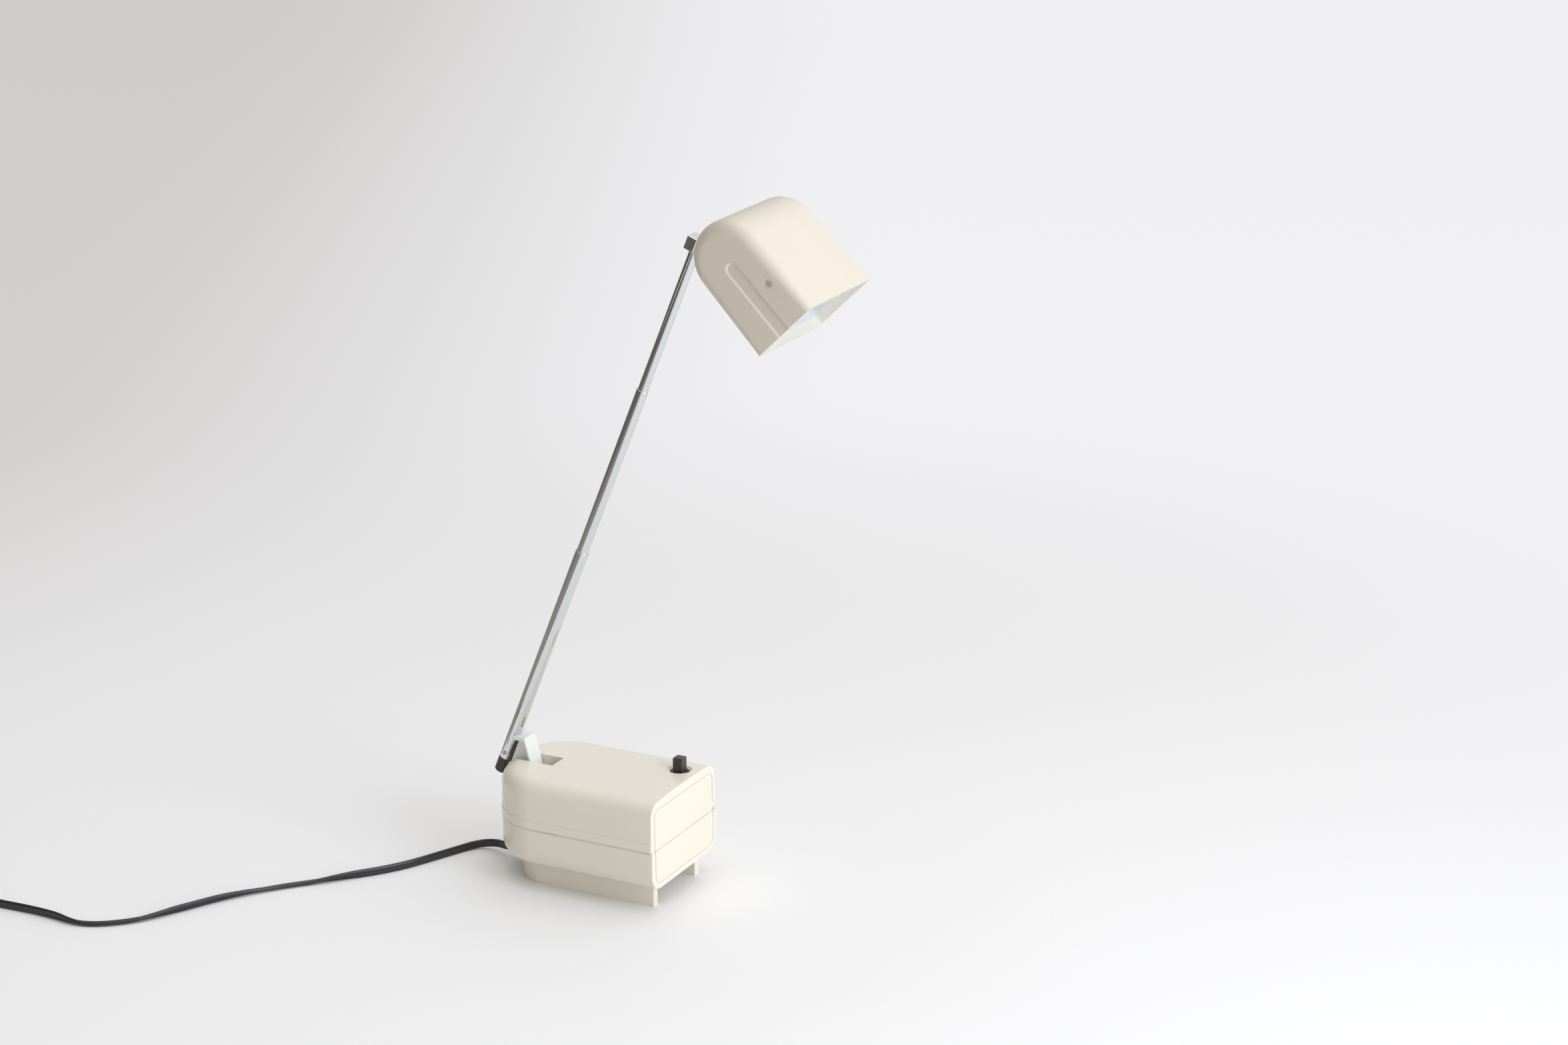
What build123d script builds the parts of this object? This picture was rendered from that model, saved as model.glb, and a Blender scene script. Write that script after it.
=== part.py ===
"""Folding table lamp: a case with a transformer, a telescopic arm and a tilting shade.

Millimetres, +Z up. The origin lies on the table straight below the fold pivot, in the
middle plane of the case. +X points to the front of the case, where the shade reaches out.
The rest pose is the one in the photo: arm drawn out and leaning forward, shade tilted down.
"""
import os
from math import cos, dist, pi, radians, sin, tan

from build123d import *

os.makedirs("parts", exist_ok=True)

# Case
base_length = 113.5
base_width = 78.3
base_height = 68.4
parting_height = 38.5
plinth_height = 13.9
crown_rise = 1.2
rear_corner_radius = 32.0
top_edge_radius = 9.0
bottom_edge_radius = 10.0
front_edge_radius = 0.7
shell_wall = 2.4
band_height = 5.5
band_proud = 0.3
front_step = 0.6
panel_border = 3.6
panel_groove_width = 0.9
panel_groove_depth = 0.5
notch_width = 3.8
notch_height = 5.5
notch_depth = 1.6
plinth_inset = 11.5
plinth_wall = 5.0
plinth_setback = 6.0
seam_gap = 0.05
overrun = 4.0

# Fold pivot and its well
pivot_from_rear = 13.0
pivot_below_top = 6.4
arm_shift = 4.0
slot_width = 13.2
slot_length = 31.5
slot_depth = 16.4
well_wall = 2.2
pivot_pin_radius = 2.0
pivot_boss_radius = 4.4
pivot_boss_length = 4.0
running_clearance = 0.05
washer_radius = 4.4
washer_gap = 0.08

# Arm
arm_lean = 22.0
arm_axis_offset = 17.2
lower_radius = 4.0
middle_radius = 3.5
upper_radius = 3.0
tube_wall = 0.3
neck_length = 4.4
rim_rounding = 0.25
tube_foot = -2.9
lower_rim = 143.4
middle_rim = 252.4
upper_end = 342.2
sleeve_length = 14.0
sleeve_gap = 0.4
sleeve_clearance = 0.04
sleeve_slit = 1.2
cap_tip = -13.1
plug_top = 9.0
plug_clearance = 0.06
cap_rounding = 0.8
saddle_reach = 5.4
saddle_width = 5.6
saddle_low = -6.5
saddle_high = 13.2
tongue_length = 5.0
tongue_width = 2.4
tongue_low = 0.0
tongue_high = 6.0
rivet_height = 0.9
rivet_radius = 0.8
rivet_head_radius = 1.2
rivet_head_height = 0.4

# Bracket
bracket_width = 12.0
bracket_web = 6.0
bracket_flange = 1.2
bracket_top_flange = 2.0
bracket_nose_out = 9.25
bracket_nose_up = 17.8
bracket_root_out = 2.0
bracket_foot = -2.9
bracket_rounding = 0.8
knuckle_radius = 4.8

# Head arm
block_back = 5.4
block_front = 0.9
block_width = 9.3
block_height = 8.2
bar_width = 5.0
bar_height = 6.0
bar_drop = 1.1
spigot_length = 14.0
head_rounding = 0.5
hinge_reach = 20.6
hinge_pin_radius = 1.5

# Shade
shade_width = 76.0
shade_radius = 22.0
shade_straight = 49.7
shade_wall = 2.0
shade_pitch = 45.5
shade_arch_rounding = 7.5
shade_mouth_rounding = 4.0
hinge_along = 4.84
hinge_below = 17.7
channel_width = 8.5
channel_end = 1.7
channel_depth = 0.9
channel_slope = 52.0
dimple_radius = 3.4
dimple_depth = 0.6
dimple_along = 24.3
dimple_up = 11.5
slot_from_angle = 222.0
slot_to_angle = 268.5
ear_radius = 4.2
ear_thickness = 3.0
ear_gap = 0.7
hinge_washer_radius = 2.9

# Lamp
reflector_gap = 0.25
reflector_sheet = 0.5
reflector_setback = 5.4
reflector_hole_radius = 6.0
stem_radius = 4.0
stem_length = 4.0
holder_radius = 9.0
holder_bore = 7.8
holder_length = 21.0
holder_floor = 4.0
holder_slit = 2.4
holder_slit_depth = 8.0
holder_screw_radius = 1.5
holder_screw_length = 7.0
holder_screw_head_radius = 2.8
holder_screw_head_height = 1.6
contact_radius = 3.2
contact_thickness = 0.8
bulb_cap_radius = 7.5
bulb_cap_length = 15.0
bulb_pin_radius = 0.9
bulb_pin_height = 1.0
bulb_pin_inset = 8.0
bulb_radius = 12.5
bulb_neck_radius = 6.4
bulb_centre = 24.0
bulb_glass_wall = 0.8

# Switch
switch_from_front = 13.0
switch_side_share = 0.235
dish_radius = 7.6
dish_depth = 1.4
dish_taper = 40.0
lever_hole_radius = 5.9
lever_ball_radius = 5.4
lever_ball_drop = 6.0
lever_size = 5.9
lever_rise = 7.4
lever_rounding = 0.5
lever_tail_radius = 1.5
lever_tail_length = 4.6
lever_axle_radius = 1.0
lever_axle_length = 16.0
switch_pad_drop = 4.4
switch_body_size = 17.0
switch_body_height = 15.0
switch_bore_depth = 9.0
switch_bore_radius = 6.0
switch_tail_slot = 7.0
switch_tail_depth = 2.8
switch_screw_pitch = 12.6
switch_screw_radius = 1.0
switch_screw_head_radius = 1.8
switch_screw_head_height = 1.2
switch_screw_bite = 1.6
switch_tab_width = 4.8
switch_tab_thickness = 0.8
switch_tab_length = 6.0
switch_tab_pitch = 6.5

# Transformer
core_gap = 2.6
core_leg_share = 1 / 3
core_yoke_share = 1 / 6
core_stack = 20.0
core_headroom = 4.7
transformer_share = 0.54
pad_height = 4.0
bobbin_gap = 0.2
bobbin_wall = 0.8
bobbin_flange = 1.2
winding_gap = 0.05
winding_margin = 0.8
winding_bulge = 8.0
winding_rounding = 4.0
clamp_sheet = 1.0
clamp_width = 14.0
clamp_foot = 8.0
screw_radius = 1.5
screw_head_radius = 2.8
screw_head_height = 1.8
clamp_screw_length = 5.0

# Case screws, terminals and cord entry
rear_post_from_rear = 23.75
post_side = 18.0
post_radius = 4.2
case_screw_radius = 1.5
case_screw_hole = 1.8
case_screw_length = 30.0
case_screw_sink = 4.0
terminal_width = 10.0
terminal_length = 9.0
terminal_height = 11.0
terminal_side = 8.7
terminal_wire_radius = 1.3
terminal_screw_radius = 1.6
terminal_screw_depth = 3.0
entry_share = 0.176
entry_side = 4.0
entry_radius = 3.2
grip_width = 8.0
grip_length = 15.0
grip_height = 5.0
grip_screw_pitch = 10.0
bush_height = 8.0
bush_radius = 3.4
bush_collar_radius = 4.4
bush_collar = 2.4
bush_inner = 1.0
bush_gap = 0.05

# Cord: corner points of the run from the bush to the coil
cord_diameter = 3.6
cord_height = 2.4
cord_points = [
    (-17.5, -4.0, 8.0),
    (-31.0, 4.6, 4.6),
    (-43.0, 1.5, 2.6),
    (-52.0, -19.0, cord_height),
    (-65.0, -48.5, cord_height),
    (-84.5, -72.5, cord_height),
    (-114.0, -102.0, cord_height),
    (-132.5, -129.0, cord_height),
    (-149.0, -163.0, cord_height),
    (-164.0, -184.5, cord_height),
    (-184.5, -198.5, cord_height),
    (-211.5, -195.5, cord_height),
    (-246.0, -197.5, cord_height),
]
corner_share = 0.45
coil_x = -278.0
coil_y = -234.0
coil_radius = 36.5
coil_pitch = 4.2
coil_layer = 5.2
coil_half_turns = 8
coil_tail = 20.0
sample_count = 1200
tie_sheet = 0.35
tie_gap = 0.25
tie_bow = 0.6
tie_width = 6.0
plug_length = 34.0
plug_width = 30.0
plug_thickness = 14.0
plug_rear_size = 9.0
plug_rounding = 2.0
plug_pin_radius = 2.0
plug_pin_length = 19.0
plug_pin_pitch = 19.0

# Places that follow from the sizes
case_rear = -pivot_from_rear
case_front = base_length - pivot_from_rear
upper_front = case_front - front_step
half_width = base_width / 2
pivot_height = base_height - pivot_below_top
arm_y = -arm_shift
floor_top = plinth_height + shell_wall
seat_top = floor_top + pad_height
well_floor = base_height - slot_depth
pivot_pin_half = slot_width / 2 + well_wall + pivot_boss_length
middle_foot = lower_rim - neck_length - sleeve_gap - sleeve_length
upper_foot = middle_rim - neck_length - sleeve_gap - sleeve_length
switch_x = case_front - switch_from_front
switch_side = base_width * switch_side_share
switch_seat = base_height - switch_pad_drop
switch_screw_step = switch_screw_pitch / 2
switch_screws_at = [
    (switch_x - switch_screw_step, switch_side - switch_screw_step),
    (switch_x + switch_screw_step, switch_side + switch_screw_step),
]
transformer_x = case_rear + base_length * transformer_share
well_end = case_rear + slot_length + well_wall
core_length = 2 * (transformer_x - well_end - core_gap - clamp_sheet)
core_leg = core_length * core_leg_share
core_yoke = core_length * core_yoke_share
core_height = base_height - shell_wall - core_headroom - clamp_sheet - seat_top
core_middle = seat_top + core_height / 2
window_width = (core_length - core_leg) / 2 - core_yoke
winding_side = window_width - winding_margin
clamp_screw_reach = (core_length + clamp_foot) / 2 + clamp_sheet
window_height = core_height - 2 * core_yoke
entry_x = case_rear + base_length * entry_share
winding_front = transformer_x + core_leg / 2 + window_width
front_post = (winding_front + switch_x - switch_body_size / 2) / 2
posts = [
    (front_post, post_side),
    (front_post, -post_side),
    (case_rear + rear_post_from_rear, post_side),
    (case_rear + rear_post_from_rear, -post_side),
]

# Planes of the moving pieces. On arm_side x runs out from the arm and y runs up along it;
# on shade_side x runs from the arch centre to the mouth and y across the shade.
lean = radians(arm_lean)
along = Vector(sin(lean), 0, cos(lean))
out = Vector(cos(lean), 0, -sin(lean))
pivot_point = Vector(0, arm_y, pivot_height)
arm_foot = pivot_point - out * arm_axis_offset
arm_side = Plane(origin=arm_foot, x_dir=out, z_dir=(0, -1, 0))
arm_axis = Axis(arm_foot, along)
pitch = radians(shade_pitch)
to_mouth = Vector(cos(pitch), 0, -sin(pitch))
across = Vector(sin(pitch), 0, cos(pitch))
bar_line = upper_end + block_height - bar_drop - bar_height / 2
hinge_point = arm_foot + out * hinge_reach + along * bar_line
arch_at_arm = hinge_point + to_mouth * hinge_along + across * hinge_below
arch_point = Vector(arch_at_arm.X, 0, arch_at_arm.Z)
shade_side = Plane(origin=arch_point, x_dir=to_mouth, z_dir=(0, -1, 0))
shade_axis = Axis(arch_point, to_mouth)
hinge_side = shade_side.offset(arm_shift)


def case_plan(inset, front, mode=Mode.ADD):
    """Draw the case's plan: flat front, straight sides and two round rear corners.

    Args:
        inset: distance inside the outline, negative for outside it.
        front: X of the flat front.
        mode: whether the plan is added or cut away.
    """
    half = half_width - inset
    rear = case_rear + inset
    radius = rear_corner_radius - inset
    with BuildLine() as outline:
        Polyline((rear + radius, -half), (front, -half), (front, half), (rear + radius, half))
        CenterArc((rear + radius, half - radius), radius, 90, 90)
        Line((rear, half - radius), (rear, radius - half))
        CenterArc((rear + radius, radius - half), radius, 180, 90)
    make_face(outline.edges(), mode=mode)


def upper_form(inset, low, front):
    """Return the filled upper case: crowned top, rounded along the sides and the rear.

    Args:
        inset: distance inside the outer surface.
        low: height at which the form starts.
        front: X of the flat front.
    """
    top = base_height - inset
    with BuildPart() as form:
        with BuildSketch(Plane.XY.offset(low)):
            case_plan(inset, front)
        extrude(amount=top - low)
        with BuildSketch(Plane.YZ.offset(case_rear - overrun)):
            with BuildLine() as outline:
                ThreePointArc((-half_width, top - crown_rise), (0, top), (half_width, top - crown_rise))
                Polyline((half_width, top - crown_rise), (half_width, low), (-half_width, low),
                         (-half_width, top - crown_rise))
            make_face(outline.edges())
        extrude(amount=base_length + 2 * overrun, mode=Mode.INTERSECT)
        rim = form.faces().sort_by(Axis.Z)[-1].edges().sort_by(Axis.X)[:-1]
        fillet(rim, top_edge_radius - inset)
    return form.part


def lower_form(inset, high, front):
    """Return the filled lower case, rounded below along the sides and the rear.

    Args:
        inset: distance inside the outer surface.
        high: height at which the form ends.
        front: X of the flat front.
    """
    low = plinth_height + inset
    with BuildPart() as form:
        with BuildSketch(Plane.XY.offset(low)):
            case_plan(inset, front)
        extrude(amount=high - low)
        rim = form.faces().sort_by(Axis.Z)[0].edges().sort_by(Axis.X)[:-1]
        fillet(rim, bottom_edge_radius - inset)
    return form.part


def panel_ring(bottom, top):
    """Draw the shallow groove round the front panel, between two heights.

    Args:
        bottom: lowest height that is kept.
        top: highest height that is kept.
    """
    height = base_height - crown_rise - plinth_height
    middle = plinth_height + height / 2
    rounding = top_edge_radius - panel_border
    with Locations((0, middle)):
        RectangleRounded(base_width - 2 * panel_border, height - 2 * panel_border, rounding)
        inner_cut = panel_border + panel_groove_width
        RectangleRounded(base_width - 2 * inner_cut, height - 2 * inner_cut,
                         rounding - panel_groove_width, mode=Mode.SUBTRACT)
    with Locations((0, (bottom + top) / 2)):
        Rectangle(base_width, top - bottom, mode=Mode.INTERSECT)


def tube_section(radius, neck, foot, rim):
    """Draw half the section of a tube that is rolled in at its upper end.

    Args:
        radius: outer radius.
        neck: inner radius of the rolled-in end.
        foot: start along the arm.
        rim: end along the arm.
    """
    bore = radius - tube_wall
    shoulder = rim - neck_length
    with BuildLine() as outline:
        Polyline((bore, foot), (radius, foot), (radius, rim - rim_rounding),
                 (radius - rim_rounding, rim), (neck, rim), (neck, shoulder),
                 (bore, shoulder - tube_wall), close=True)
    make_face(outline.edges())


def shade_section(inset, rounding):
    """Draw the shade's section across its axis.

    Args:
        inset: distance inside the outer surface.
        rounding: corner radius.
    """
    RectangleRounded(shade_width - 2 * inset, 2 * (shade_radius - inset), rounding)


def shade_form(inset, mouth):
    """Return the filled shade: a half-round arch that runs on into a straight hood.

    Args:
        inset: distance inside the outer surface.
        mouth: distance from the arch centre to the mouth.
    """
    base_plane = Plane(origin=arch_point, x_dir=(0, 1, 0), z_dir=to_mouth)
    with BuildPart() as form:
        with BuildSketch(base_plane):
            shade_section(inset, shade_arch_rounding - inset)
        with BuildSketch(base_plane.offset(mouth)):
            shade_section(inset, shade_mouth_rounding - inset / 2)
        loft(ruled=True)
        with BuildSketch(base_plane) as half_section:
            shade_section(inset, shade_arch_rounding - inset)
            with Locations((0, shade_radius)):
                Rectangle(2 * shade_width, 2 * shade_radius, mode=Mode.INTERSECT)
        revolve(half_section.sketch, axis=Axis(arch_point, (0, -1, 0)), revolution_arc=180)
    return form.part


def bracket_outline():
    """Draw the bracket's web: a hull round the knuckle, the nose and the foot at the arm."""
    with Locations((arm_axis_offset, 0)):
        Circle(knuckle_radius)
    Polygon((bracket_nose_out, bracket_nose_up), (saddle_reach, flange_top(saddle_reach)),
            (saddle_reach, bracket_foot), (arm_axis_offset, 0), align=None)
    make_hull()


def bracket_pocket():
    """Draw the pocket in the bracket's side, which leaves both flanges and the knuckle."""
    bracket_outline()
    offset(amount=-bracket_flange, mode=Mode.REPLACE)
    pocket_low = bracket_foot + bracket_flange
    pocket_high = flange_top(saddle_reach) - bracket_flange
    with Locations((saddle_reach, (pocket_low + pocket_high) / 2)):
        Rectangle(2 * bracket_flange, pocket_high - pocket_low)
    top_flange(Mode.SUBTRACT)
    with Locations((arm_axis_offset, 0)):
        Circle(knuckle_radius + bracket_rounding, mode=Mode.SUBTRACT)


def flange_top(e):
    """Return how far up the arm the bracket's flat top lies at a distance out from the arm."""
    return bracket_nose_up - (bracket_nose_out - e) * tan(lean)


def top_flange(mode=Mode.ADD):
    """Draw the bracket's flat top flange, from the arm to the nose."""
    Polygon((bracket_root_out, flange_top(bracket_root_out)), (bracket_nose_out, bracket_nose_up),
            (bracket_nose_out, bracket_nose_up - bracket_top_flange),
            (bracket_root_out, flange_top(bracket_root_out) - bracket_top_flange), align=None, mode=mode)


def screw(radius, length, head_radius, head_height):
    """Draw a screw's half section, pointing down from the underside of its head at zero."""
    with BuildLine() as outline:
        Polyline((0, -length), (radius, -length), (radius, 0), (head_radius, 0),
                 (head_radius, head_height), (0, head_height), close=True)
    make_face(outline.edges())


def turned(points, plane_y, radius, length, head_radius, head_height):
    """Add one screw at each point, turned about a vertical axis.

    Args:
        points: places of the head's underside.
        plane_y: -1 for screws that point down, 1 for screws that point up.
        radius: shank radius.
        length: shank length.
        head_radius: head radius.
        head_height: head height.
    """
    for point in points:
        with BuildSketch(Plane(origin=point, x_dir=(1, 0, 0), z_dir=(0, plane_y, 0))) as profile:
            screw(radius, length, head_radius, head_height)
        revolve(profile.sketch, axis=Axis(point, (0, 0, 1)))


def coil_nodes():
    """Return the points where the coil's half turns meet: in on the floor, out on top of it."""
    step = coil_pitch / 2
    radii = [coil_radius - k * step for k in range(coil_half_turns + 2)]
    radii += [radii[-2] + (k + 1) * step for k in range(coil_half_turns)]
    nodes = []
    for k, radius in enumerate(radii):
        side = radius if k % 2 == 0 else -radius
        height = cord_height if k <= coil_half_turns else cord_height + coil_layer
        nodes.append(Vector(coil_x, coil_y + side, height))
    return nodes


# Base: upper shell with the well for the arm's bracket, the switch seat and the screw posts
upper_outer = upper_form(0, parting_height + seam_gap, upper_front)
upper_cavity = upper_form(shell_wall, parting_height - overrun, upper_front - shell_wall)
with BuildPart() as upper_skin:
    add(upper_outer)
    front_rim = upper_skin.faces().sort_by(Axis.X)[-1].edges().sort_by(Axis.Z)[1:]
    fillet(front_rim, front_edge_radius)
    with BuildSketch(Plane.XY.offset(parting_height + seam_gap)):
        case_plan(-band_proud, upper_front - front_edge_radius)
    extrude(amount=band_height)
    add(upper_cavity, mode=Mode.SUBTRACT)
with BuildPart() as upper_shell:
    well_length = slot_length + well_wall
    with BuildSketch(Plane.XY.offset(well_floor - well_wall)):
        with Locations((case_rear + well_length / 2, arm_y)):
            Rectangle(well_length, slot_width + 2 * well_wall)
    extrude(amount=slot_depth + well_wall)
    with BuildSketch(Plane.XZ.offset(arm_shift)):
        with Locations((0, pivot_height)):
            Circle(pivot_boss_radius)
    extrude(amount=pivot_pin_half, both=True)
    with BuildSketch(Plane.XY.offset(switch_seat)):
        with Locations((switch_x, switch_side)):
            Rectangle(switch_body_size, switch_body_size)
    extrude(amount=switch_pad_drop)
    with BuildSketch(Plane.XY.offset(parting_height + seam_gap)):
        with Locations(*posts):
            Circle(post_radius)
    extrude(amount=base_height - parting_height)
    add(upper_outer, mode=Mode.INTERSECT)
    add(upper_skin.part)
    with BuildSketch(Plane.XY.offset(well_floor)):
        with Locations((case_rear + slot_length / 2 - overrun / 2, arm_y)):
            Rectangle(slot_length + overrun, slot_width)
    extrude(amount=slot_depth + overrun, mode=Mode.SUBTRACT)
    with BuildSketch(Plane.XZ.offset(arm_shift)):
        with Locations((0, pivot_height)):
            Circle(pivot_pin_radius + running_clearance)
    extrude(amount=pivot_pin_half, both=True, mode=Mode.SUBTRACT)
    with BuildSketch(Plane.XY.offset(base_height)):
        with Locations((switch_x, switch_side)):
            Circle(dish_radius)
    extrude(amount=-dish_depth, taper=dish_taper, mode=Mode.SUBTRACT)
    with BuildSketch(Plane.XY.offset(switch_seat - overrun)):
        with Locations((switch_x, switch_side)):
            Circle(lever_hole_radius)
    extrude(amount=2 * overrun + switch_pad_drop, mode=Mode.SUBTRACT)
    with BuildSketch(Plane.XY.offset(switch_seat - overrun)):
        with Locations(*switch_screws_at):
            Circle(switch_screw_radius + running_clearance)
    extrude(amount=overrun + switch_screw_bite, mode=Mode.SUBTRACT)
    with BuildSketch(Plane.XY.offset(parting_height)):
        with Locations(*posts):
            Circle(case_screw_radius + running_clearance)
    extrude(amount=case_screw_length / 2, mode=Mode.SUBTRACT)
    with BuildSketch(Plane.YZ.offset(upper_front)):
        panel_ring(parting_height, base_height)
    extrude(amount=-panel_groove_depth, mode=Mode.SUBTRACT)
    with BuildSketch(Plane.YZ.offset(upper_front)):
        with Locations((half_width, parting_height)):
            Rectangle(2 * notch_width, 2 * notch_height)
    extrude(amount=-notch_depth, mode=Mode.SUBTRACT)
    upper_shell.part.label = "upper_shell"
export_step(upper_shell.part, "parts/upper_shell.step")

# Base: lower shell with the recessed plinth that it stands on
lower_outer = lower_form(0, parting_height, case_front)
lower_cavity = lower_form(shell_wall, parting_height + overrun, case_front - shell_wall)
with BuildPart() as lower_shell:
    add(lower_outer)
    front_rim = lower_shell.faces().sort_by(Axis.X)[-1].edges().sort_by(Axis.Z)[:-1]
    fillet(front_rim, front_edge_radius)
    add(lower_cavity, mode=Mode.SUBTRACT)
    with BuildSketch():
        case_plan(plinth_inset, case_front - plinth_setback)
        case_plan(plinth_inset + plinth_wall, case_front, Mode.SUBTRACT)
    extrude(amount=plinth_height + shell_wall / 2)
    pad_length = core_length + 2 * (clamp_sheet + clamp_foot)
    with BuildSketch(Plane.XY.offset(plinth_height + shell_wall / 2)):
        with Locations((transformer_x, 0)):
            Rectangle(pad_length, core_stack)
    extrude(amount=seat_top - plinth_height - shell_wall / 2)
    with BuildSketch(Plane.XY.offset(plinth_height + shell_wall / 2)):
        with Locations(*posts):
            Circle(post_radius)
    extrude(amount=parting_height - plinth_height - shell_wall / 2)
    with BuildSketch(Plane.XY.offset(plinth_height)):
        with Locations(*posts):
            Circle(case_screw_hole)
    extrude(amount=parting_height, mode=Mode.SUBTRACT)
    with BuildSketch(Plane.XY.offset(plinth_height)):
        with Locations(*posts):
            Circle(screw_head_radius + case_screw_hole - case_screw_radius)
    extrude(amount=case_screw_sink, mode=Mode.SUBTRACT)
    with BuildSketch(Plane.XY.offset(seat_top)):
        for side in (-1, 1):
            with Locations((transformer_x + side * clamp_screw_reach, 0)):
                Circle(screw_radius + running_clearance)
    extrude(amount=clamp_sheet - clamp_screw_length, mode=Mode.SUBTRACT)
    with BuildSketch(Plane.XY.offset(plinth_height)):
        with Locations((entry_x, -entry_side)):
            Circle(entry_radius)
    extrude(amount=overrun, mode=Mode.SUBTRACT)
    with BuildSketch(Plane.YZ.offset(case_rear + plinth_inset - overrun)):
        with Locations((arm_y, bush_height)):
            Circle(bush_radius + bush_gap)
    extrude(amount=plinth_wall + 2 * overrun, mode=Mode.SUBTRACT)
    with BuildSketch(Plane.YZ.offset(case_front)):
        panel_ring(plinth_height, parting_height)
    extrude(amount=-panel_groove_depth, mode=Mode.SUBTRACT)
    lower_shell.part.label = "lower_shell"
export_step(lower_shell.part, "parts/lower_shell.step")

# Base: screws that hold the two shells together, driven in from below
with BuildPart() as case_screws:
    turned([(x, y, plinth_height + case_screw_sink) for x, y in posts], 1,
           case_screw_radius, case_screw_length, screw_head_radius, screw_head_height)
    case_screws.part.label = "case_screws"
export_step(case_screws.part, "parts/case_screws.step")

# Transformer: laminated core with two windows round its middle leg
with BuildPart() as transformer_core:
    with BuildSketch(Plane.XZ):
        with Locations((transformer_x, core_middle)):
            Rectangle(core_length, core_height)
        for side in (-1, 1):
            with Locations((transformer_x + side * (core_leg + window_width) / 2, core_middle)):
                Rectangle(window_width, window_height, mode=Mode.SUBTRACT)
    extrude(amount=core_stack / 2, both=True)
    transformer_core.part.label = "transformer_core"
export_step(transformer_core.part, "parts/transformer_core.step")

# Transformer: bobbin on the middle leg
leg_x = core_leg + 2 * bobbin_gap
leg_y = core_stack + 2 * bobbin_gap
tube_x = leg_x + 2 * bobbin_wall
tube_y = leg_y + 2 * bobbin_wall
bobbin_height = window_height - 2 * bobbin_gap
with BuildPart() as transformer_bobbin:
    with BuildSketch(Plane.XY.offset(core_middle - bobbin_height / 2)):
        with Locations((transformer_x, 0)):
            Rectangle(tube_x, tube_y)
    extrude(amount=bobbin_height)
    for level in (core_middle - bobbin_height / 2, core_middle + bobbin_height / 2 - bobbin_flange):
        with BuildSketch(Plane.XY.offset(level)):
            with Locations((transformer_x, 0)):
                Rectangle(core_leg + 2 * window_width - 2 * bobbin_gap, core_stack + 2 * winding_bulge)
        extrude(amount=bobbin_flange)
    with BuildSketch(Plane.XY.offset(core_middle - bobbin_height / 2)):
        with Locations((transformer_x, 0)):
            Rectangle(leg_x, leg_y)
    extrude(amount=bobbin_height, mode=Mode.SUBTRACT)
    transformer_bobbin.part.label = "transformer_bobbin"
export_step(transformer_bobbin.part, "parts/transformer_bobbin.step")

# Transformer: winding between the bobbin's flanges
with BuildPart() as transformer_winding:
    winding_height = bobbin_height - 2 * bobbin_flange - 2 * winding_gap
    with BuildSketch(Plane.XY.offset(core_middle - winding_height / 2)):
        with Locations((transformer_x, 0)):
            RectangleRounded(core_leg + 2 * winding_side, core_stack + 2 * winding_side,
                             winding_rounding)
            Rectangle(tube_x + 2 * winding_gap, tube_y + 2 * winding_gap, mode=Mode.SUBTRACT)
    extrude(amount=winding_height)
    transformer_winding.part.label = "transformer_winding"
export_step(transformer_winding.part, "parts/transformer_winding.step")

# Transformer: sheet clamp over the core with a foot at each end
clamp_half = core_length / 2 + clamp_sheet
clamp_top = seat_top + core_height + clamp_sheet
clamp_reach = clamp_half + clamp_foot
with BuildPart() as core_clamp:
    with BuildSketch(Plane.XZ):
        with BuildLine():
            Polyline(
                (transformer_x - clamp_reach, seat_top),
                (transformer_x - core_length / 2, seat_top),
                (transformer_x - core_length / 2, clamp_top - clamp_sheet),
                (transformer_x + core_length / 2, clamp_top - clamp_sheet),
                (transformer_x + core_length / 2, seat_top),
                (transformer_x + clamp_reach, seat_top),
                (transformer_x + clamp_reach, seat_top + clamp_sheet),
                (transformer_x + clamp_half, seat_top + clamp_sheet),
                (transformer_x + clamp_half, clamp_top),
                (transformer_x - clamp_half, clamp_top),
                (transformer_x - clamp_half, seat_top + clamp_sheet),
                (transformer_x - clamp_reach, seat_top + clamp_sheet),
                close=True,
            )
        make_face()
    extrude(amount=clamp_width / 2, both=True)
    with BuildSketch(Plane.XY.offset(seat_top)):
        for side in (-1, 1):
            with Locations((transformer_x + side * clamp_screw_reach, 0)):
                Circle(screw_radius + running_clearance)
    extrude(amount=clamp_sheet, mode=Mode.SUBTRACT)
    core_clamp.part.label = "core_clamp"
export_step(core_clamp.part, "parts/core_clamp.step")

# Transformer: screws through the clamp's feet
with BuildPart() as clamp_screws:
    feet = [transformer_x - clamp_screw_reach, transformer_x + clamp_screw_reach]
    turned([(x, 0, seat_top + clamp_sheet) for x in feet], -1,
           screw_radius, clamp_screw_length, screw_head_radius, screw_head_height)
    clamp_screws.part.label = "clamp_screws"
export_step(clamp_screws.part, "parts/clamp_screws.step")

# Cord entry: terminal block for the mains lead
with BuildPart() as terminal_block:
    with BuildSketch(Plane.XY.offset(floor_top)):
        with Locations((entry_x, terminal_side)):
            Rectangle(terminal_width, terminal_length)
    extrude(amount=terminal_height)
    with BuildSketch(Plane.YZ.offset(entry_x - terminal_width)):
        for side in (-1, 1):
            with Locations((terminal_side + side * terminal_length / 4, floor_top + terminal_height / 2)):
                Circle(terminal_wire_radius)
    extrude(amount=2 * terminal_width, mode=Mode.SUBTRACT)
    with BuildSketch(Plane.XY.offset(floor_top + terminal_height)):
        for side in (-1, 1):
            with Locations((entry_x, terminal_side + side * terminal_length / 4)):
                Circle(terminal_screw_radius)
    extrude(amount=-terminal_screw_depth, mode=Mode.SUBTRACT)
    terminal_block.part.label = "terminal_block"
export_step(terminal_block.part, "parts/terminal_block.step")

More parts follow.
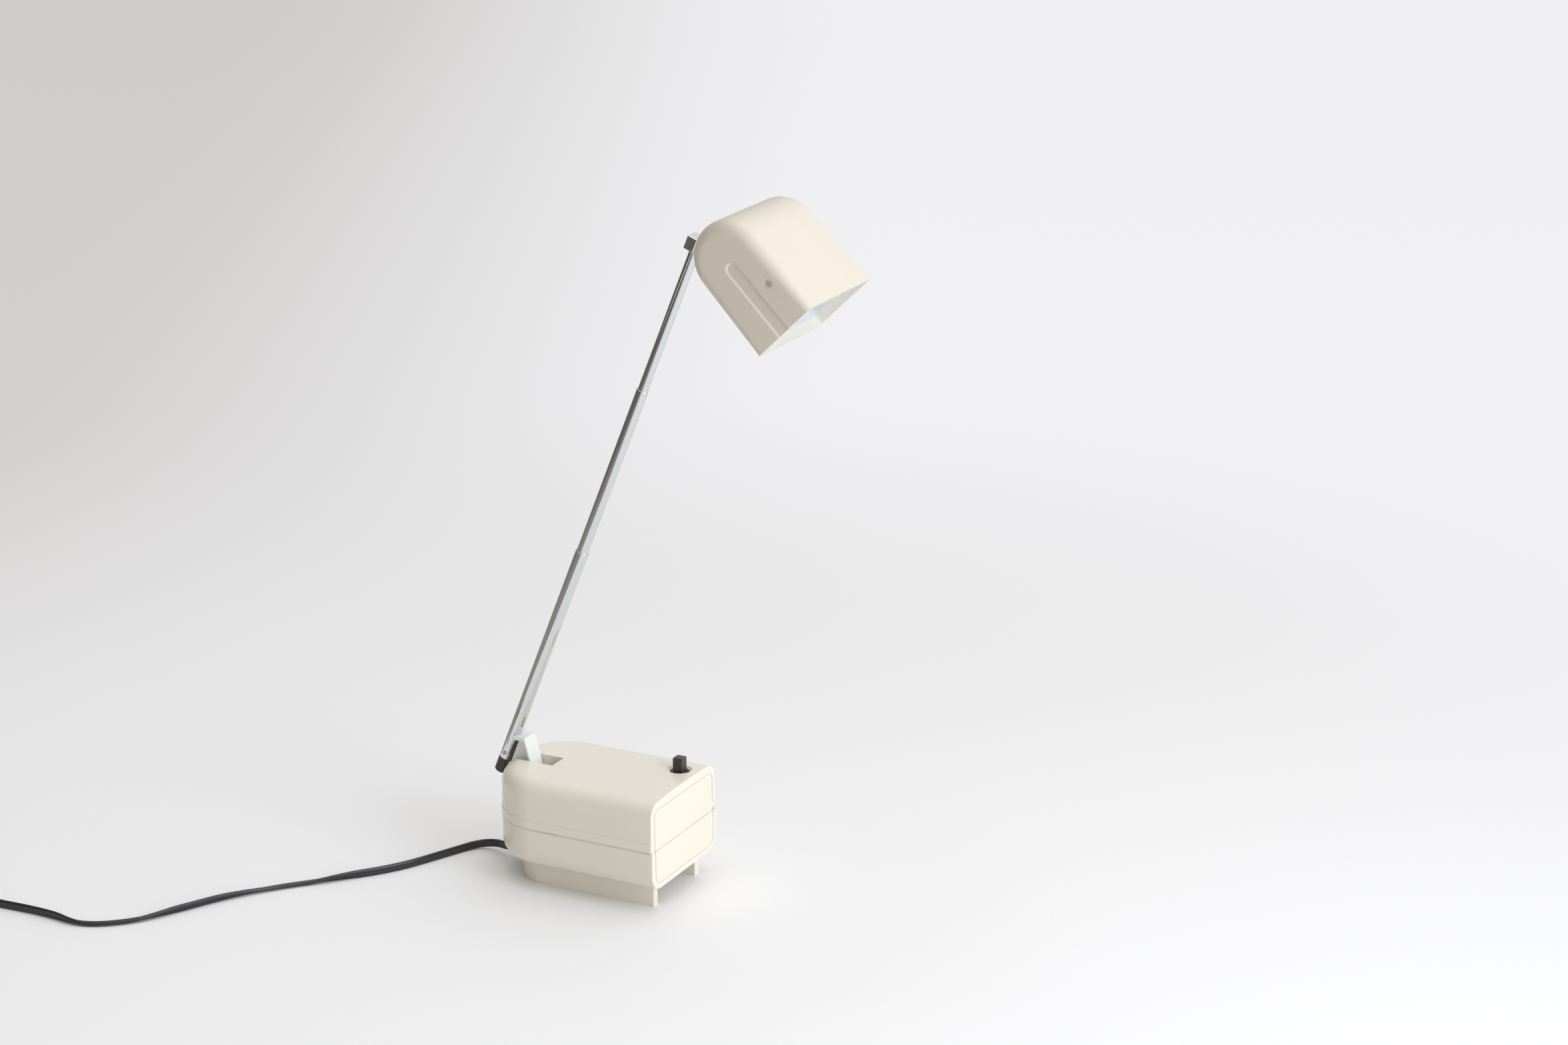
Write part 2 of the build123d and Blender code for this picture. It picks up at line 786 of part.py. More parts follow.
# Cord entry: grip that clamps the cord where it comes up through the floor
grip_places = [(entry_x, -entry_side + side * grip_screw_pitch / 2) for side in (-1, 1)]
with BuildPart() as cord_grip:
    with BuildSketch(Plane.XY.offset(floor_top)):
        with Locations((entry_x, -entry_side)):
            Rectangle(grip_width, grip_length)
            Circle(cord_diameter / 2, mode=Mode.SUBTRACT)
        with Locations(*grip_places):
            Circle(screw_radius + running_clearance, mode=Mode.SUBTRACT)
    extrude(amount=grip_height)
    cord_grip.part.label = "cord_grip"
export_step(cord_grip.part, "parts/cord_grip.step")

with BuildPart() as grip_screws:
    turned([(x, y, floor_top + grip_height) for x, y in grip_places], -1,
           screw_radius, grip_height, screw_head_radius, screw_head_height)
    grip_screws.part.label = "grip_screws"
export_step(grip_screws.part, "parts/grip_screws.step")

# Cord entry: bush in the plinth's rear wall
bush_face = case_rear + plinth_inset
with BuildPart() as cord_bush:
    with BuildSketch(Plane.YZ.offset(bush_face - bush_collar)):
        with Locations((arm_y, bush_height)):
            Circle(bush_collar_radius)
    extrude(amount=bush_collar)
    with BuildSketch(Plane.YZ.offset(bush_face)):
        with Locations((arm_y, bush_height)):
            Circle(bush_radius)
    extrude(amount=plinth_wall + bush_inner)
    cord_bush.part.label = "cord_bush"
export_step(cord_bush.part, "parts/cord_bush.step")

# Switch: body under the top of the case, open above for the lever's ball
lever_z = base_height - lever_ball_drop
with BuildPart() as switch_body:
    with BuildSketch(Plane.XY.offset(switch_seat)):
        with Locations((switch_x, switch_side)):
            Rectangle(switch_body_size, switch_body_size)
    extrude(amount=-switch_body_height)
    with BuildSketch(Plane.XY.offset(switch_seat)):
        with Locations((switch_x, switch_side)):
            Circle(switch_bore_radius)
    extrude(amount=-switch_bore_depth, mode=Mode.SUBTRACT)
    with BuildSketch(Plane.XY.offset(switch_seat - switch_bore_depth)):
        with Locations((switch_x, switch_side)):
            Rectangle(switch_tail_slot, 2 * lever_tail_radius + lever_rounding)
    extrude(amount=-switch_tail_depth, mode=Mode.SUBTRACT)
    with BuildSketch(Plane.XZ.offset(-switch_side)):
        with Locations((switch_x, lever_z)):
            Circle(lever_axle_radius + running_clearance)
    extrude(amount=lever_axle_length / 2, both=True, mode=Mode.SUBTRACT)
    with BuildSketch(Plane.XY.offset(switch_seat)):
        with Locations(*switch_screws_at):
            Circle(switch_screw_radius + running_clearance)
    extrude(amount=-switch_body_height, mode=Mode.SUBTRACT)
    switch_body.part.label = "switch_body"
export_step(switch_body.part, "parts/switch_body.step")

with BuildPart() as switch_screws:
    turned([(x, y, switch_seat - switch_body_height) for x, y in switch_screws_at], 1,
           switch_screw_radius, switch_body_height + switch_screw_bite,
           switch_screw_head_radius, switch_screw_head_height)
    switch_screws.part.label = "switch_screws"
export_step(switch_screws.part, "parts/switch_screws.step")

with BuildPart() as switch_tabs:
    with BuildSketch(Plane.XY.offset(switch_seat - switch_body_height)):
        for step in (-1, 0, 1):
            with Locations((switch_x, switch_side + step * switch_tab_pitch)):
                Rectangle(switch_tab_width, switch_tab_thickness)
    extrude(amount=-switch_tab_length)
    switch_tabs.part.label = "switch_tabs"
export_step(switch_tabs.part, "parts/switch_tabs.step")

with BuildPart() as lever_axle:
    with BuildSketch(Plane.XZ.offset(-switch_side)):
        with Locations((switch_x, lever_z)):
            Circle(lever_axle_radius)
    extrude(amount=lever_axle_length / 2, both=True)
    lever_axle.part.label = "lever_axle"
export_step(lever_axle.part, "parts/lever_axle.step")

# Switch: square lever on a ball that fills the round hole
with BuildPart() as switch_lever:
    with BuildSketch(Plane.XY.offset(lever_z)):
        with Locations((switch_x, switch_side)):
            Rectangle(lever_size, lever_size)
    extrude(amount=lever_ball_drop + lever_rise)
    fillet(switch_lever.faces().sort_by(Axis.Z)[-1].edges(), lever_rounding)
    with Locations((switch_x, switch_side, lever_z)):
        Sphere(lever_ball_radius)
    with BuildSketch(Plane.XY.offset(lever_z)):
        with Locations((switch_x, switch_side)):
            Circle(lever_tail_radius)
    extrude(amount=-lever_ball_radius - lever_tail_length)
    with BuildSketch(Plane.XZ.offset(-switch_side)):
        with Locations((switch_x, lever_z)):
            Circle(lever_axle_radius + running_clearance)
    extrude(amount=lever_axle_length, both=True, mode=Mode.SUBTRACT)
    switch_lever.part.label = "switch_lever"
export_step(switch_lever.part, "parts/switch_lever.step")

# Fold pivot: pin through the well and a friction washer on each side of the bracket
with BuildPart() as pivot_pin:
    with BuildSketch(Plane.XZ.offset(arm_shift)):
        with Locations((0, pivot_height)):
            Circle(pivot_pin_radius)
    extrude(amount=pivot_pin_half, both=True)
    pivot_pin.part.label = "pivot_pin"
export_step(pivot_pin.part, "parts/pivot_pin.step")

with BuildPart() as pivot_washers:
    for side in (-1, 1):
        with BuildSketch(Plane.XZ.offset(arm_shift + side * (bracket_width / 2 + washer_gap))):
            with Locations((0, pivot_height)):
                Circle(washer_radius)
                Circle(pivot_pin_radius + running_clearance, mode=Mode.SUBTRACT)
        extrude(amount=side * ((slot_width - bracket_width) / 2 - 2 * washer_gap))
    pivot_washers.part.label = "pivot_washers"
export_step(pivot_washers.part, "parts/pivot_washers.step")

# Arm: bracket between the pivot and the lower tube
with BuildPart() as bracket:
    with BuildSketch(arm_side):
        bracket_outline()
        top_flange()
    extrude(amount=bracket_width / 2, both=True)
    for side in (-1, 1):
        with BuildSketch(arm_side.offset(side * bracket_web / 2)):
            bracket_pocket()
        extrude(amount=side * bracket_width, mode=Mode.SUBTRACT)
    with BuildSketch(arm_side):
        with Locations((arm_axis_offset, 0)):
            Circle(pivot_pin_radius + running_clearance)
    extrude(amount=bracket_width, both=True, mode=Mode.SUBTRACT)
    with BuildSketch(Plane(origin=arm_foot, x_dir=out, z_dir=along)):
        Circle(lower_radius + plug_clearance)
    extrude(amount=2 * bracket_nose_up, both=True, mode=Mode.SUBTRACT)
    with BuildSketch(arm_side):
        tongue_middle = saddle_reach + tongue_length / 2
        with Locations((tongue_middle, (tongue_low + tongue_high) / 2)):
            Rectangle(tongue_length + 2 * plug_clearance, tongue_high - tongue_low + 2 * plug_clearance)
    extrude(amount=tongue_width / 2 + plug_clearance, both=True, mode=Mode.SUBTRACT)
    bracket.part.label = "bracket"
export_step(bracket.part, "parts/bracket.step")

# Arm: three tubes, each rolled in at its rim
with BuildPart() as lower_tube:
    with BuildSketch(arm_side):
        tube_section(lower_radius, middle_radius + running_clearance, tube_foot, lower_rim)
    revolve(axis=arm_axis)
    with BuildSketch(arm_side):
        with Locations((0, rivet_height)):
            Circle(rivet_radius + running_clearance)
    extrude(amount=2 * lower_radius, both=True, mode=Mode.SUBTRACT)
    lower_tube.part.label = "lower_tube"
export_step(lower_tube.part, "parts/lower_tube.step")

with BuildPart() as middle_tube:
    with BuildSketch(arm_side):
        tube_section(middle_radius, upper_radius + running_clearance, middle_foot, middle_rim)
    revolve(axis=arm_axis)
    middle_tube.part.label = "middle_tube"
export_step(middle_tube.part, "parts/middle_tube.step")

with BuildPart() as upper_tube:
    upper_bore = upper_radius - tube_wall
    with BuildSketch(Plane(origin=arm_foot + along * upper_foot, x_dir=out, z_dir=along)):
        Circle(upper_radius)
        Circle(upper_bore, mode=Mode.SUBTRACT)
    extrude(amount=upper_end - upper_foot)
    upper_tube.part.label = "upper_tube"
export_step(upper_tube.part, "parts/upper_tube.step")


def friction_sleeve(inner, outer, foot):
    """Return the split sleeve that grips inside the tube outside it.

    Args:
        inner: radius of the tube that carries it.
        outer: bore radius of the tube that it slides in.
        foot: start along the arm.
    """
    with BuildPart() as sleeve:
        with BuildSketch(Plane(origin=arm_foot + along * foot, x_dir=out, z_dir=along)):
            Circle(outer - sleeve_clearance)
            Circle(inner + sleeve_clearance / 2, mode=Mode.SUBTRACT)
            with Locations((outer, 0)):
                Rectangle(outer, sleeve_slit, mode=Mode.SUBTRACT)
        extrude(amount=sleeve_length)
    return sleeve.part


middle_sleeve = friction_sleeve(middle_radius, lower_radius - tube_wall, middle_foot)
middle_sleeve.label = "middle_sleeve"
export_step(middle_sleeve, "parts/middle_sleeve.step")
upper_sleeve = friction_sleeve(upper_radius, middle_radius - tube_wall, upper_foot)
upper_sleeve.label = "upper_sleeve"
export_step(upper_sleeve, "parts/upper_sleeve.step")

# Arm: black end plug with a saddle and a tongue that locks into the bracket
with BuildPart() as end_cap:
    with BuildSketch(arm_side):
        with BuildLine():
            Polyline((0, cap_tip), (lower_radius - cap_rounding, cap_tip),
                     (lower_radius, cap_tip + cap_rounding), (lower_radius, tube_foot),
                     (lower_radius - tube_wall - plug_clearance, tube_foot),
                     (lower_radius - tube_wall - plug_clearance, plug_top), (0, plug_top), close=True)
        make_face()
    revolve(axis=arm_axis)
    with BuildSketch(arm_side):
        Polygon((0, saddle_low), (saddle_reach, saddle_low), (saddle_reach, saddle_high), (0, saddle_high),
                align=None)
    extrude(amount=saddle_width / 2, both=True)
    with BuildSketch(Plane(origin=arm_foot + along * tube_foot, x_dir=out, z_dir=along)):
        Circle(lower_radius + plug_clearance)
        Circle(lower_radius - tube_wall - plug_clearance, mode=Mode.SUBTRACT)
    extrude(amount=saddle_high - saddle_low, mode=Mode.SUBTRACT)
    with BuildSketch(arm_side):
        with Locations((tongue_middle - plug_clearance, (tongue_low + tongue_high) / 2)):
            Rectangle(tongue_length, tongue_high - tongue_low)
    extrude(amount=tongue_width / 2, both=True)
    with BuildSketch(arm_side):
        with Locations((0, rivet_height)):
            Circle(rivet_radius + running_clearance)
    extrude(amount=2 * lower_radius, both=True, mode=Mode.SUBTRACT)
    end_cap.part.label = "end_cap"
export_step(end_cap.part, "parts/end_cap.step")

# Arm: rivet through the tube and the plug
with BuildPart() as cap_rivet:
    with BuildSketch(arm_side):
        with Locations((0, rivet_height)):
            Circle(rivet_radius)
    extrude(amount=lower_radius + rivet_head_height / 2, both=True)
    for side in (-1, 1):
        with BuildSketch(arm_side.offset(side * (lower_radius + running_clearance))):
            with Locations((0, rivet_height)):
                Circle(rivet_head_radius)
        extrude(amount=side * rivet_head_height)
    cap_rivet.part.label = "cap_rivet"
export_step(cap_rivet.part, "parts/cap_rivet.step")

# Head arm: block on the upper tube with a bar to the shade's hinge
with BuildPart() as head_arm:
    with BuildSketch(arm_side):
        Polygon((-block_back, upper_end), (block_front, upper_end), (block_front, upper_end + block_height),
                (-block_back, upper_end + block_height), align=None)
    extrude(amount=block_width / 2, both=True)
    fillet(head_arm.edges(), head_rounding)
    with BuildSketch(arm_side):
        Polygon((0, bar_line - bar_height / 2), (hinge_reach, bar_line - bar_height / 2),
                (hinge_reach, bar_line + bar_height / 2), (0, bar_line + bar_height / 2), align=None)
        with Locations((hinge_reach, bar_line)):
            Circle(bar_height / 2)
    extrude(amount=bar_width / 2, both=True)
    with BuildSketch(Plane(origin=arm_foot + along * (upper_end + head_rounding), x_dir=out, z_dir=along)):
        Circle(upper_bore - plug_clearance)
    extrude(amount=-spigot_length)
    with BuildSketch(arm_side):
        with Locations((hinge_reach, bar_line)):
            Circle(hinge_pin_radius + running_clearance)
    extrude(amount=bar_width, both=True, mode=Mode.SUBTRACT)
    head_arm.part.label = "head_arm"
export_step(head_arm.part, "parts/head_arm.step")

# Shade: moulded hood with ears for the hinge pin and a stem for the lamp holder
hinge_at = (-hinge_along, -hinge_below)
ear_start = bar_width / 2 + ear_gap
shade_across = Plane(origin=arch_point, x_dir=(0, 1, 0), z_dir=to_mouth)
shade_outer = shade_form(0, shade_straight)
shade_cavity = shade_form(shade_wall, shade_straight + overrun)
stem_end = stem_length + shade_wall - shade_radius


def hinge_sector(low_radius):
    """Draw the sector that the head arm sweeps through the shade's wall."""
    angles = [slot_from_angle, (slot_from_angle + slot_to_angle) / 2, slot_to_angle]
    rim = [(2 * shade_radius * cos(radians(a)), 2 * shade_radius * sin(radians(a))) for a in angles]
    core = [(low_radius * cos(radians(a)), low_radius * sin(radians(a))) for a in reversed(angles)]
    Polygon(*rim, *core, align=None)


with BuildPart() as hood:
    add(shade_outer)
    add(shade_cavity, mode=Mode.SUBTRACT)
with BuildPart() as shade:
    with BuildSketch(hinge_side):
        with Locations(hinge_at):
            Circle(ear_radius)
    extrude(amount=ear_start + ear_thickness, both=True)
    with BuildSketch(hinge_side):
        with Locations(hinge_at):
            Circle(2 * ear_radius)
    extrude(amount=ear_start, both=True, mode=Mode.SUBTRACT)
    with BuildSketch(shade_across.offset(-shade_radius)):
        Circle(stem_radius)
    extrude(amount=shade_wall + stem_length)
    add(shade_outer, mode=Mode.INTERSECT)
    add(hood.part)
    with BuildSketch(hinge_side):
        hinge_sector(shade_radius - 2 * shade_wall)
    extrude(amount=ear_start, both=True, mode=Mode.SUBTRACT)
    with BuildSketch(hinge_side):
        with Locations(hinge_at):
            Circle(hinge_pin_radius + running_clearance)
    extrude(amount=ear_start + ear_thickness, both=True, mode=Mode.SUBTRACT)
    with BuildSketch(shade_across.offset(stem_end)):
        Circle(holder_screw_radius + running_clearance)
    extrude(amount=-stem_length, mode=Mode.SUBTRACT)
    for side in (-1, 1):
        with BuildSketch(shade_side.offset(side * shade_width / 2)):
            with Locations((channel_end + channel_width / 2, 0)):
                Circle(channel_width / 2)
            channel_run = shade_straight + overrun - channel_end - channel_width / 2
            with Locations((channel_end + channel_width / 2 + channel_run / 2, 0)):
                Rectangle(channel_run, channel_width)
        extrude(amount=-side * channel_depth, taper=channel_slope, mode=Mode.SUBTRACT)
        dimple_ball = (dimple_radius ** 2 + dimple_depth ** 2) / (2 * dimple_depth)
        ball_side = side * (shade_width / 2 + dimple_ball - dimple_depth)
        with Locations(shade_side.offset(ball_side)):
            with Locations((dimple_along, dimple_up)):
                Sphere(dimple_ball, mode=Mode.SUBTRACT)
    shade.part.label = "shade"
export_step(shade.part, "parts/shade.step")

# Shade: hinge pin and its friction washers
with BuildPart() as hinge_pin:
    with BuildSketch(hinge_side):
        with Locations(hinge_at):
            Circle(hinge_pin_radius)
    extrude(amount=ear_start + ear_thickness, both=True)
    hinge_pin.part.label = "hinge_pin"
export_step(hinge_pin.part, "parts/hinge_pin.step")

with BuildPart() as hinge_washers:
    for side in (-1, 1):
        with BuildSketch(hinge_side.offset(side * (bar_width / 2 + washer_gap))):
            with Locations(hinge_at):
                Circle(hinge_washer_radius)
                Circle(hinge_pin_radius + running_clearance, mode=Mode.SUBTRACT)
        extrude(amount=side * (ear_gap - 2 * washer_gap))
    hinge_washers.part.label = "hinge_washers"
export_step(hinge_washers.part, "parts/hinge_washers.step")

# Lamp: pressed sheet reflector that lines the shade, set back from the mouth
liner_inset = shade_wall + reflector_gap
liner_outer = shade_form(liner_inset, shade_straight + overrun)
liner_cavity = shade_form(liner_inset + reflector_sheet, shade_straight + overrun)
with BuildPart() as reflector:
    add(liner_outer)
    add(liner_cavity, mode=Mode.SUBTRACT)
    with BuildSketch(shade_across.offset(shade_straight - reflector_setback)):
        Rectangle(2 * shade_width, 2 * shade_width)
    extrude(amount=reflector_setback + 2 * overrun, mode=Mode.SUBTRACT)
    with BuildSketch(hinge_side):
        hinge_sector(shade_radius / 2)
        with Locations(hinge_at):
            Circle(ear_radius + ear_gap)
    extrude(amount=ear_start + ear_thickness + ear_gap, both=True, mode=Mode.SUBTRACT)
    with BuildSketch(shade_across.offset(-shade_radius)):
        Circle(reflector_hole_radius)
    extrude(amount=shade_radius / 2, mode=Mode.SUBTRACT)
    reflector.part.label = "reflector"
export_step(reflector.part, "parts/reflector.step")

# Lamp: bayonet holder on the stem, its screw and its contact
holder_floor_at = stem_end + holder_floor
with BuildPart() as lamp_holder:
    with BuildSketch(shade_across.offset(stem_end)):
        Circle(holder_radius)
    extrude(amount=holder_length)
    with BuildSketch(shade_across.offset(holder_floor_at)):
        Circle(holder_bore)
    extrude(amount=holder_length, mode=Mode.SUBTRACT)
    with BuildSketch(shade_across.offset(stem_end + holder_length - holder_slit_depth)):
        Rectangle(2 * holder_radius, holder_slit)
    extrude(amount=holder_length, mode=Mode.SUBTRACT)
    with BuildSketch(shade_across.offset(stem_end)):
        Circle(holder_screw_radius + running_clearance)
    extrude(amount=holder_length, mode=Mode.SUBTRACT)
    lamp_holder.part.label = "lamp_holder"
export_step(lamp_holder.part, "parts/lamp_holder.step")

with BuildPart() as holder_screw:
    with BuildSketch(shade_across.offset(holder_floor_at)):
        Circle(holder_screw_head_radius)
    extrude(amount=holder_screw_head_height)
    with BuildSketch(shade_across.offset(holder_floor_at)):
        Circle(holder_screw_radius)
    extrude(amount=-holder_screw_length)
    holder_screw.part.label = "holder_screw"
export_step(holder_screw.part, "parts/holder_screw.step")

contact_at = holder_floor_at + holder_screw_head_height
with BuildPart() as lamp_contact:
    with BuildSketch(shade_across.offset(contact_at)):
        Circle(contact_radius)
    extrude(amount=contact_thickness)
    lamp_contact.part.label = "lamp_contact"
export_step(lamp_contact.part, "parts/lamp_contact.step")

# Lamp: bulb with a bayonet cap
bulb_foot = contact_at + contact_thickness
cap_end = bulb_foot + bulb_cap_length
with BuildPart() as bulb_cap:
    with BuildSketch(shade_across.offset(bulb_foot)):
        Circle(bulb_cap_radius)
    extrude(amount=bulb_cap_length)
    with BuildSketch(Plane(origin=arch_point + to_mouth * (bulb_foot + bulb_pin_inset),
                           x_dir=to_mouth, z_dir=(0, 1, 0))):
        Circle(bulb_pin_radius)
    extrude(amount=bulb_cap_radius + bulb_pin_height, both=True)
    bulb_cap.part.label = "bulb_cap"
export_step(bulb_cap.part, "parts/bulb_cap.step")


def bulb_outline(inset, mode=Mode.ADD):
    """Draw half the bulb's outline: a neck that runs into a globe.

    Args:
        inset: distance inside the glass's outer face.
        mode: whether the outline is added or cut away.
    """
    with Locations((bulb_centre, 0)):
        Circle(bulb_radius - inset, mode=mode)
    with Locations(((cap_end + bulb_centre) / 2, 0)):
        Rectangle(bulb_centre - cap_end, 2 * (bulb_neck_radius - inset), mode=mode)


with BuildPart() as bulb_glass:
    with BuildSketch(shade_side):
        bulb_outline(0)
        bulb_outline(bulb_glass_wall, Mode.SUBTRACT)
        with Locations((bulb_centre, bulb_radius)):
            Rectangle(4 * bulb_centre, 2 * bulb_radius, mode=Mode.INTERSECT)
    revolve(axis=shade_axis)
    bulb_glass.part.label = "bulb_glass"
export_step(bulb_glass.part, "parts/bulb_glass.step")

# Cord: straight runs joined by tangent arcs, from the bush to the coil
cord_start = (bush_face - bush_collar, arm_y, bush_height)
cord_end = (coil_x + cord_diameter, coil_y + coil_radius, cord_height)
route = [cord_start] + cord_points + [cord_end]
corner_radii = []
for before, corner, after in zip(route, route[1:], route[2:]):
    first = Vector(corner) - Vector(before)
    second = Vector(after) - Vector(corner)
    half_turn = radians(first.get_angle(second)) / 2
    corner_radii.append(corner_share * min(first.length, second.length) / tan(half_turn))
print("cord corner radii", [round(r, 1) for r in corner_radii])
with BuildPart() as cord:
    with BuildLine() as cord_path:
        FilletPolyline(*route, radius=corner_radii)
    with BuildSketch(Plane(origin=cord_start, z_dir=cord_path.wire() % 0)):
        Circle(cord_diameter / 2)
    sweep(path=cord_path.wire())
    cord.part.label = "cord"
export_step(cord.part, "parts/cord.step")
cord_section = pi * cord_diameter ** 2 / 4
print("cord volume ratio", round(cord.part.volume / (cord_section * cord_path.wire().length), 4))

# Cord: the rest of it in a flat coil of half circles, in and then out on a second layer
turns = coil_nodes()
with BuildPart() as cord_coil:
    with BuildLine() as coil_path:
        Line(cord_end, turns[0])
        for k, (first, second) in enumerate(zip(turns, turns[1:])):
            centre = (first + second) / 2
            reach = (second - first).length / 2
            side = -1 if k % 2 == 0 else 1
            ThreePointArc(first, centre + Vector(side * reach, 0, 0), second)
        Line(turns[-1], turns[-1] + Vector(coil_tail, 0, 0))
    with BuildSketch(Plane(origin=cord_end, z_dir=coil_path.wire() % 0)):
        Circle(cord_diameter / 2)
    sweep(path=coil_path.wire())
    cord_coil.part.label = "cord_coil"
export_step(cord_coil.part, "parts/cord_coil.step")
coil_wire = coil_path.wire()
coil_length = coil_wire.length
samples = [tuple(coil_wire @ (k / sample_count)) for k in range(sample_count + 1)]
apart = int(3 * coil_radius / (coil_length / sample_count))
closest = min(dist(p, q) for i, p in enumerate(samples) for q in samples[i + apart:])
print("coil least gap", round(closest - cord_diameter, 2))
print("coil volume ratio", round(cord_coil.part.volume / (cord_section * coil_length), 4))
print("cord length", round(cord_path.wire().length + coil_length))

# Cord: tie round the coil
inner_turn = coil_radius - coil_half_turns * coil_pitch / 2
tie_low = inner_turn - cord_diameter / 2 - tie_gap - tie_bow
tie_high = coil_radius + cord_diameter / 2 + tie_gap - coil_pitch / 2
tie_bottom = cord_height - cord_diameter / 2 - tie_gap
tie_top = cord_height + coil_layer + cord_diameter / 2 + tie_gap
with BuildPart() as coil_tie:
    with BuildSketch(Plane.XZ.offset(-coil_y)):
        with Locations((coil_x + (tie_low + tie_high) / 2, (tie_bottom + tie_top) / 2)):
            Rectangle(tie_high - tie_low + 2 * tie_sheet, tie_top - tie_bottom + 2 * tie_sheet)
            Rectangle(tie_high - tie_low, tie_top - tie_bottom, mode=Mode.SUBTRACT)
    extrude(amount=tie_width / 2, both=True)
    coil_tie.part.label = "coil_tie"
export_step(coil_tie.part, "parts/coil_tie.step")

# Cord: plug at the free end
plug_point = turns[-1] + Vector(coil_tail, 0, 0)
plug_plane = Plane(origin=plug_point, x_dir=(0, 1, 0), z_dir=(1, 0, 0))
with BuildPart() as plug_body:
    with BuildSketch(plug_plane):
        RectangleRounded(plug_rear_size, plug_rear_size, plug_rounding)
    with BuildSketch(plug_plane.offset(plug_length)):
        RectangleRounded(plug_width, plug_thickness, plug_rounding)
    loft(ruled=True)
    plug_body.part.label = "plug_body"
export_step(plug_body.part, "parts/plug_body.step")

with BuildPart() as plug_pins:
    with BuildSketch(plug_plane.offset(plug_length)):
        for side in (-1, 1):
            with Locations((side * plug_pin_pitch / 2, 0)):
                Circle(plug_pin_radius)
    extrude(amount=plug_pin_length)
    plug_pins.part.label = "plug_pins"
export_step(plug_pins.part, "parts/plug_pins.step")
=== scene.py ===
"""Looks of a folding telescopic table lamp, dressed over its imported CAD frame.

Metres and the CAD frame throughout: +Z up, the origin on the table below the fold pivot,
+X to the front of the case. Sizes in the classes are millimetres, as they are in the CAD.
"""
from __future__ import annotations

import logging
import math
from dataclasses import dataclass, field
from enum import Enum

import bpy
import numpy as np
from bpy.types import Material, Node, NodeSocket, NodeTree, Object
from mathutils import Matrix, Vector

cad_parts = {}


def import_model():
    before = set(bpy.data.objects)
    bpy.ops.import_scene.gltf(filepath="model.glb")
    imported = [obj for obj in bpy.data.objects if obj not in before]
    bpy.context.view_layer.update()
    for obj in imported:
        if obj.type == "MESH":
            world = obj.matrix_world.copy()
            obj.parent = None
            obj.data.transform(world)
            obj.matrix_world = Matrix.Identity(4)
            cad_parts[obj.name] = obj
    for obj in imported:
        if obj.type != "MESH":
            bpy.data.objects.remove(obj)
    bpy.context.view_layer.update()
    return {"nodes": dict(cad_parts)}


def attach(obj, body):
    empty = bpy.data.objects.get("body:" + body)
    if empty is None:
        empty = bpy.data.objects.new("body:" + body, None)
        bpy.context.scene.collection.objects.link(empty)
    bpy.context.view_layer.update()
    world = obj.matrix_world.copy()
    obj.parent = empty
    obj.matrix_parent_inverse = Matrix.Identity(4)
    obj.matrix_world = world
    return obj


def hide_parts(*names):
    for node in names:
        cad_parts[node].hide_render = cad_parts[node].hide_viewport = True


LOG = logging.getLogger("telescopic_lamp")
MM = 0.001
ARM_LEAN = math.radians(22.0)
ARM_FOOT = np.array([-15.9476, -4.0, 68.4432]) * MM
ALONG = np.array([math.sin(ARM_LEAN), 0.0, math.cos(ARM_LEAN)])
OUT = np.array([math.cos(ARM_LEAN), 0.0, -math.sin(ARM_LEAN)])
# Most values of a noise texture lie in the first span; a patch fades in over the second.
NOISE_SPAN = (0.3, 0.7)
PATCH_SPAN = (0.35, 0.65)
# Pitch of the wave texture's bands at a scale of one.
WAVE_PITCH = 0.314
# Depth of a mould's grain as a share of its width.
GRAIN_DEPTH = 0.01
PLASTIC_IOR = 1.53
GLASS_IOR = 1.5


def linear(code: str) -> tuple[float, float, float, float]:
    """Turn an sRGB hex colour into the linear colour that Blender's sockets take.

    Args:
        code: colour as "#rrggbb".

    Returns:
        Linear red, green and blue with full alpha.
    """
    srgb = np.array([int(code[i:i + 2], 16) for i in (1, 3, 5)]) / 255.0
    flat = np.where(srgb <= 0.04045, srgb / 12.92, ((srgb + 0.055) / 1.055) ** 2.4)
    return float(flat[0]), float(flat[1]), float(flat[2]), 1.0


def add_node(
    tree: NodeTree,
    kind: str,
    settings: dict | None = None,
    links: dict | None = None,
) -> Node:
    """Add one shader node with its settings and links.

    Args:
        tree: node tree that gets the node.
        kind: Blender's name for the node type.
        settings: input names or numbers, or attributes, with their values.
        links: input names or numbers with the output sockets that feed them.

    Returns:
        The new node.
    """
    node = tree.nodes.new(kind)
    for name, value in (settings or {}).items():
        if isinstance(name, int) or name in node.inputs:
            node.inputs[name].default_value = value
        else:
            setattr(node, name, value)
    for name, source in (links or {}).items():
        tree.links.new(source, node.inputs[name])
    return node


def noise(tree: NodeTree, place: NodeSocket, size_mm: float, detail: float = 1.0) -> NodeSocket:
    """Add a noise whose grain has a real size.

    Args:
        tree: node tree that gets the node.
        place: coordinates in metres.
        size_mm: size of the grain.
        detail: layers of finer noise on top of it.

    Returns:
        The noise's value.
    """
    made = add_node(tree, "ShaderNodeTexNoise", {"Scale": 1.0 / (size_mm * MM), "Detail": detail},
                    {"Vector": place})
    return made.outputs["Fac"]


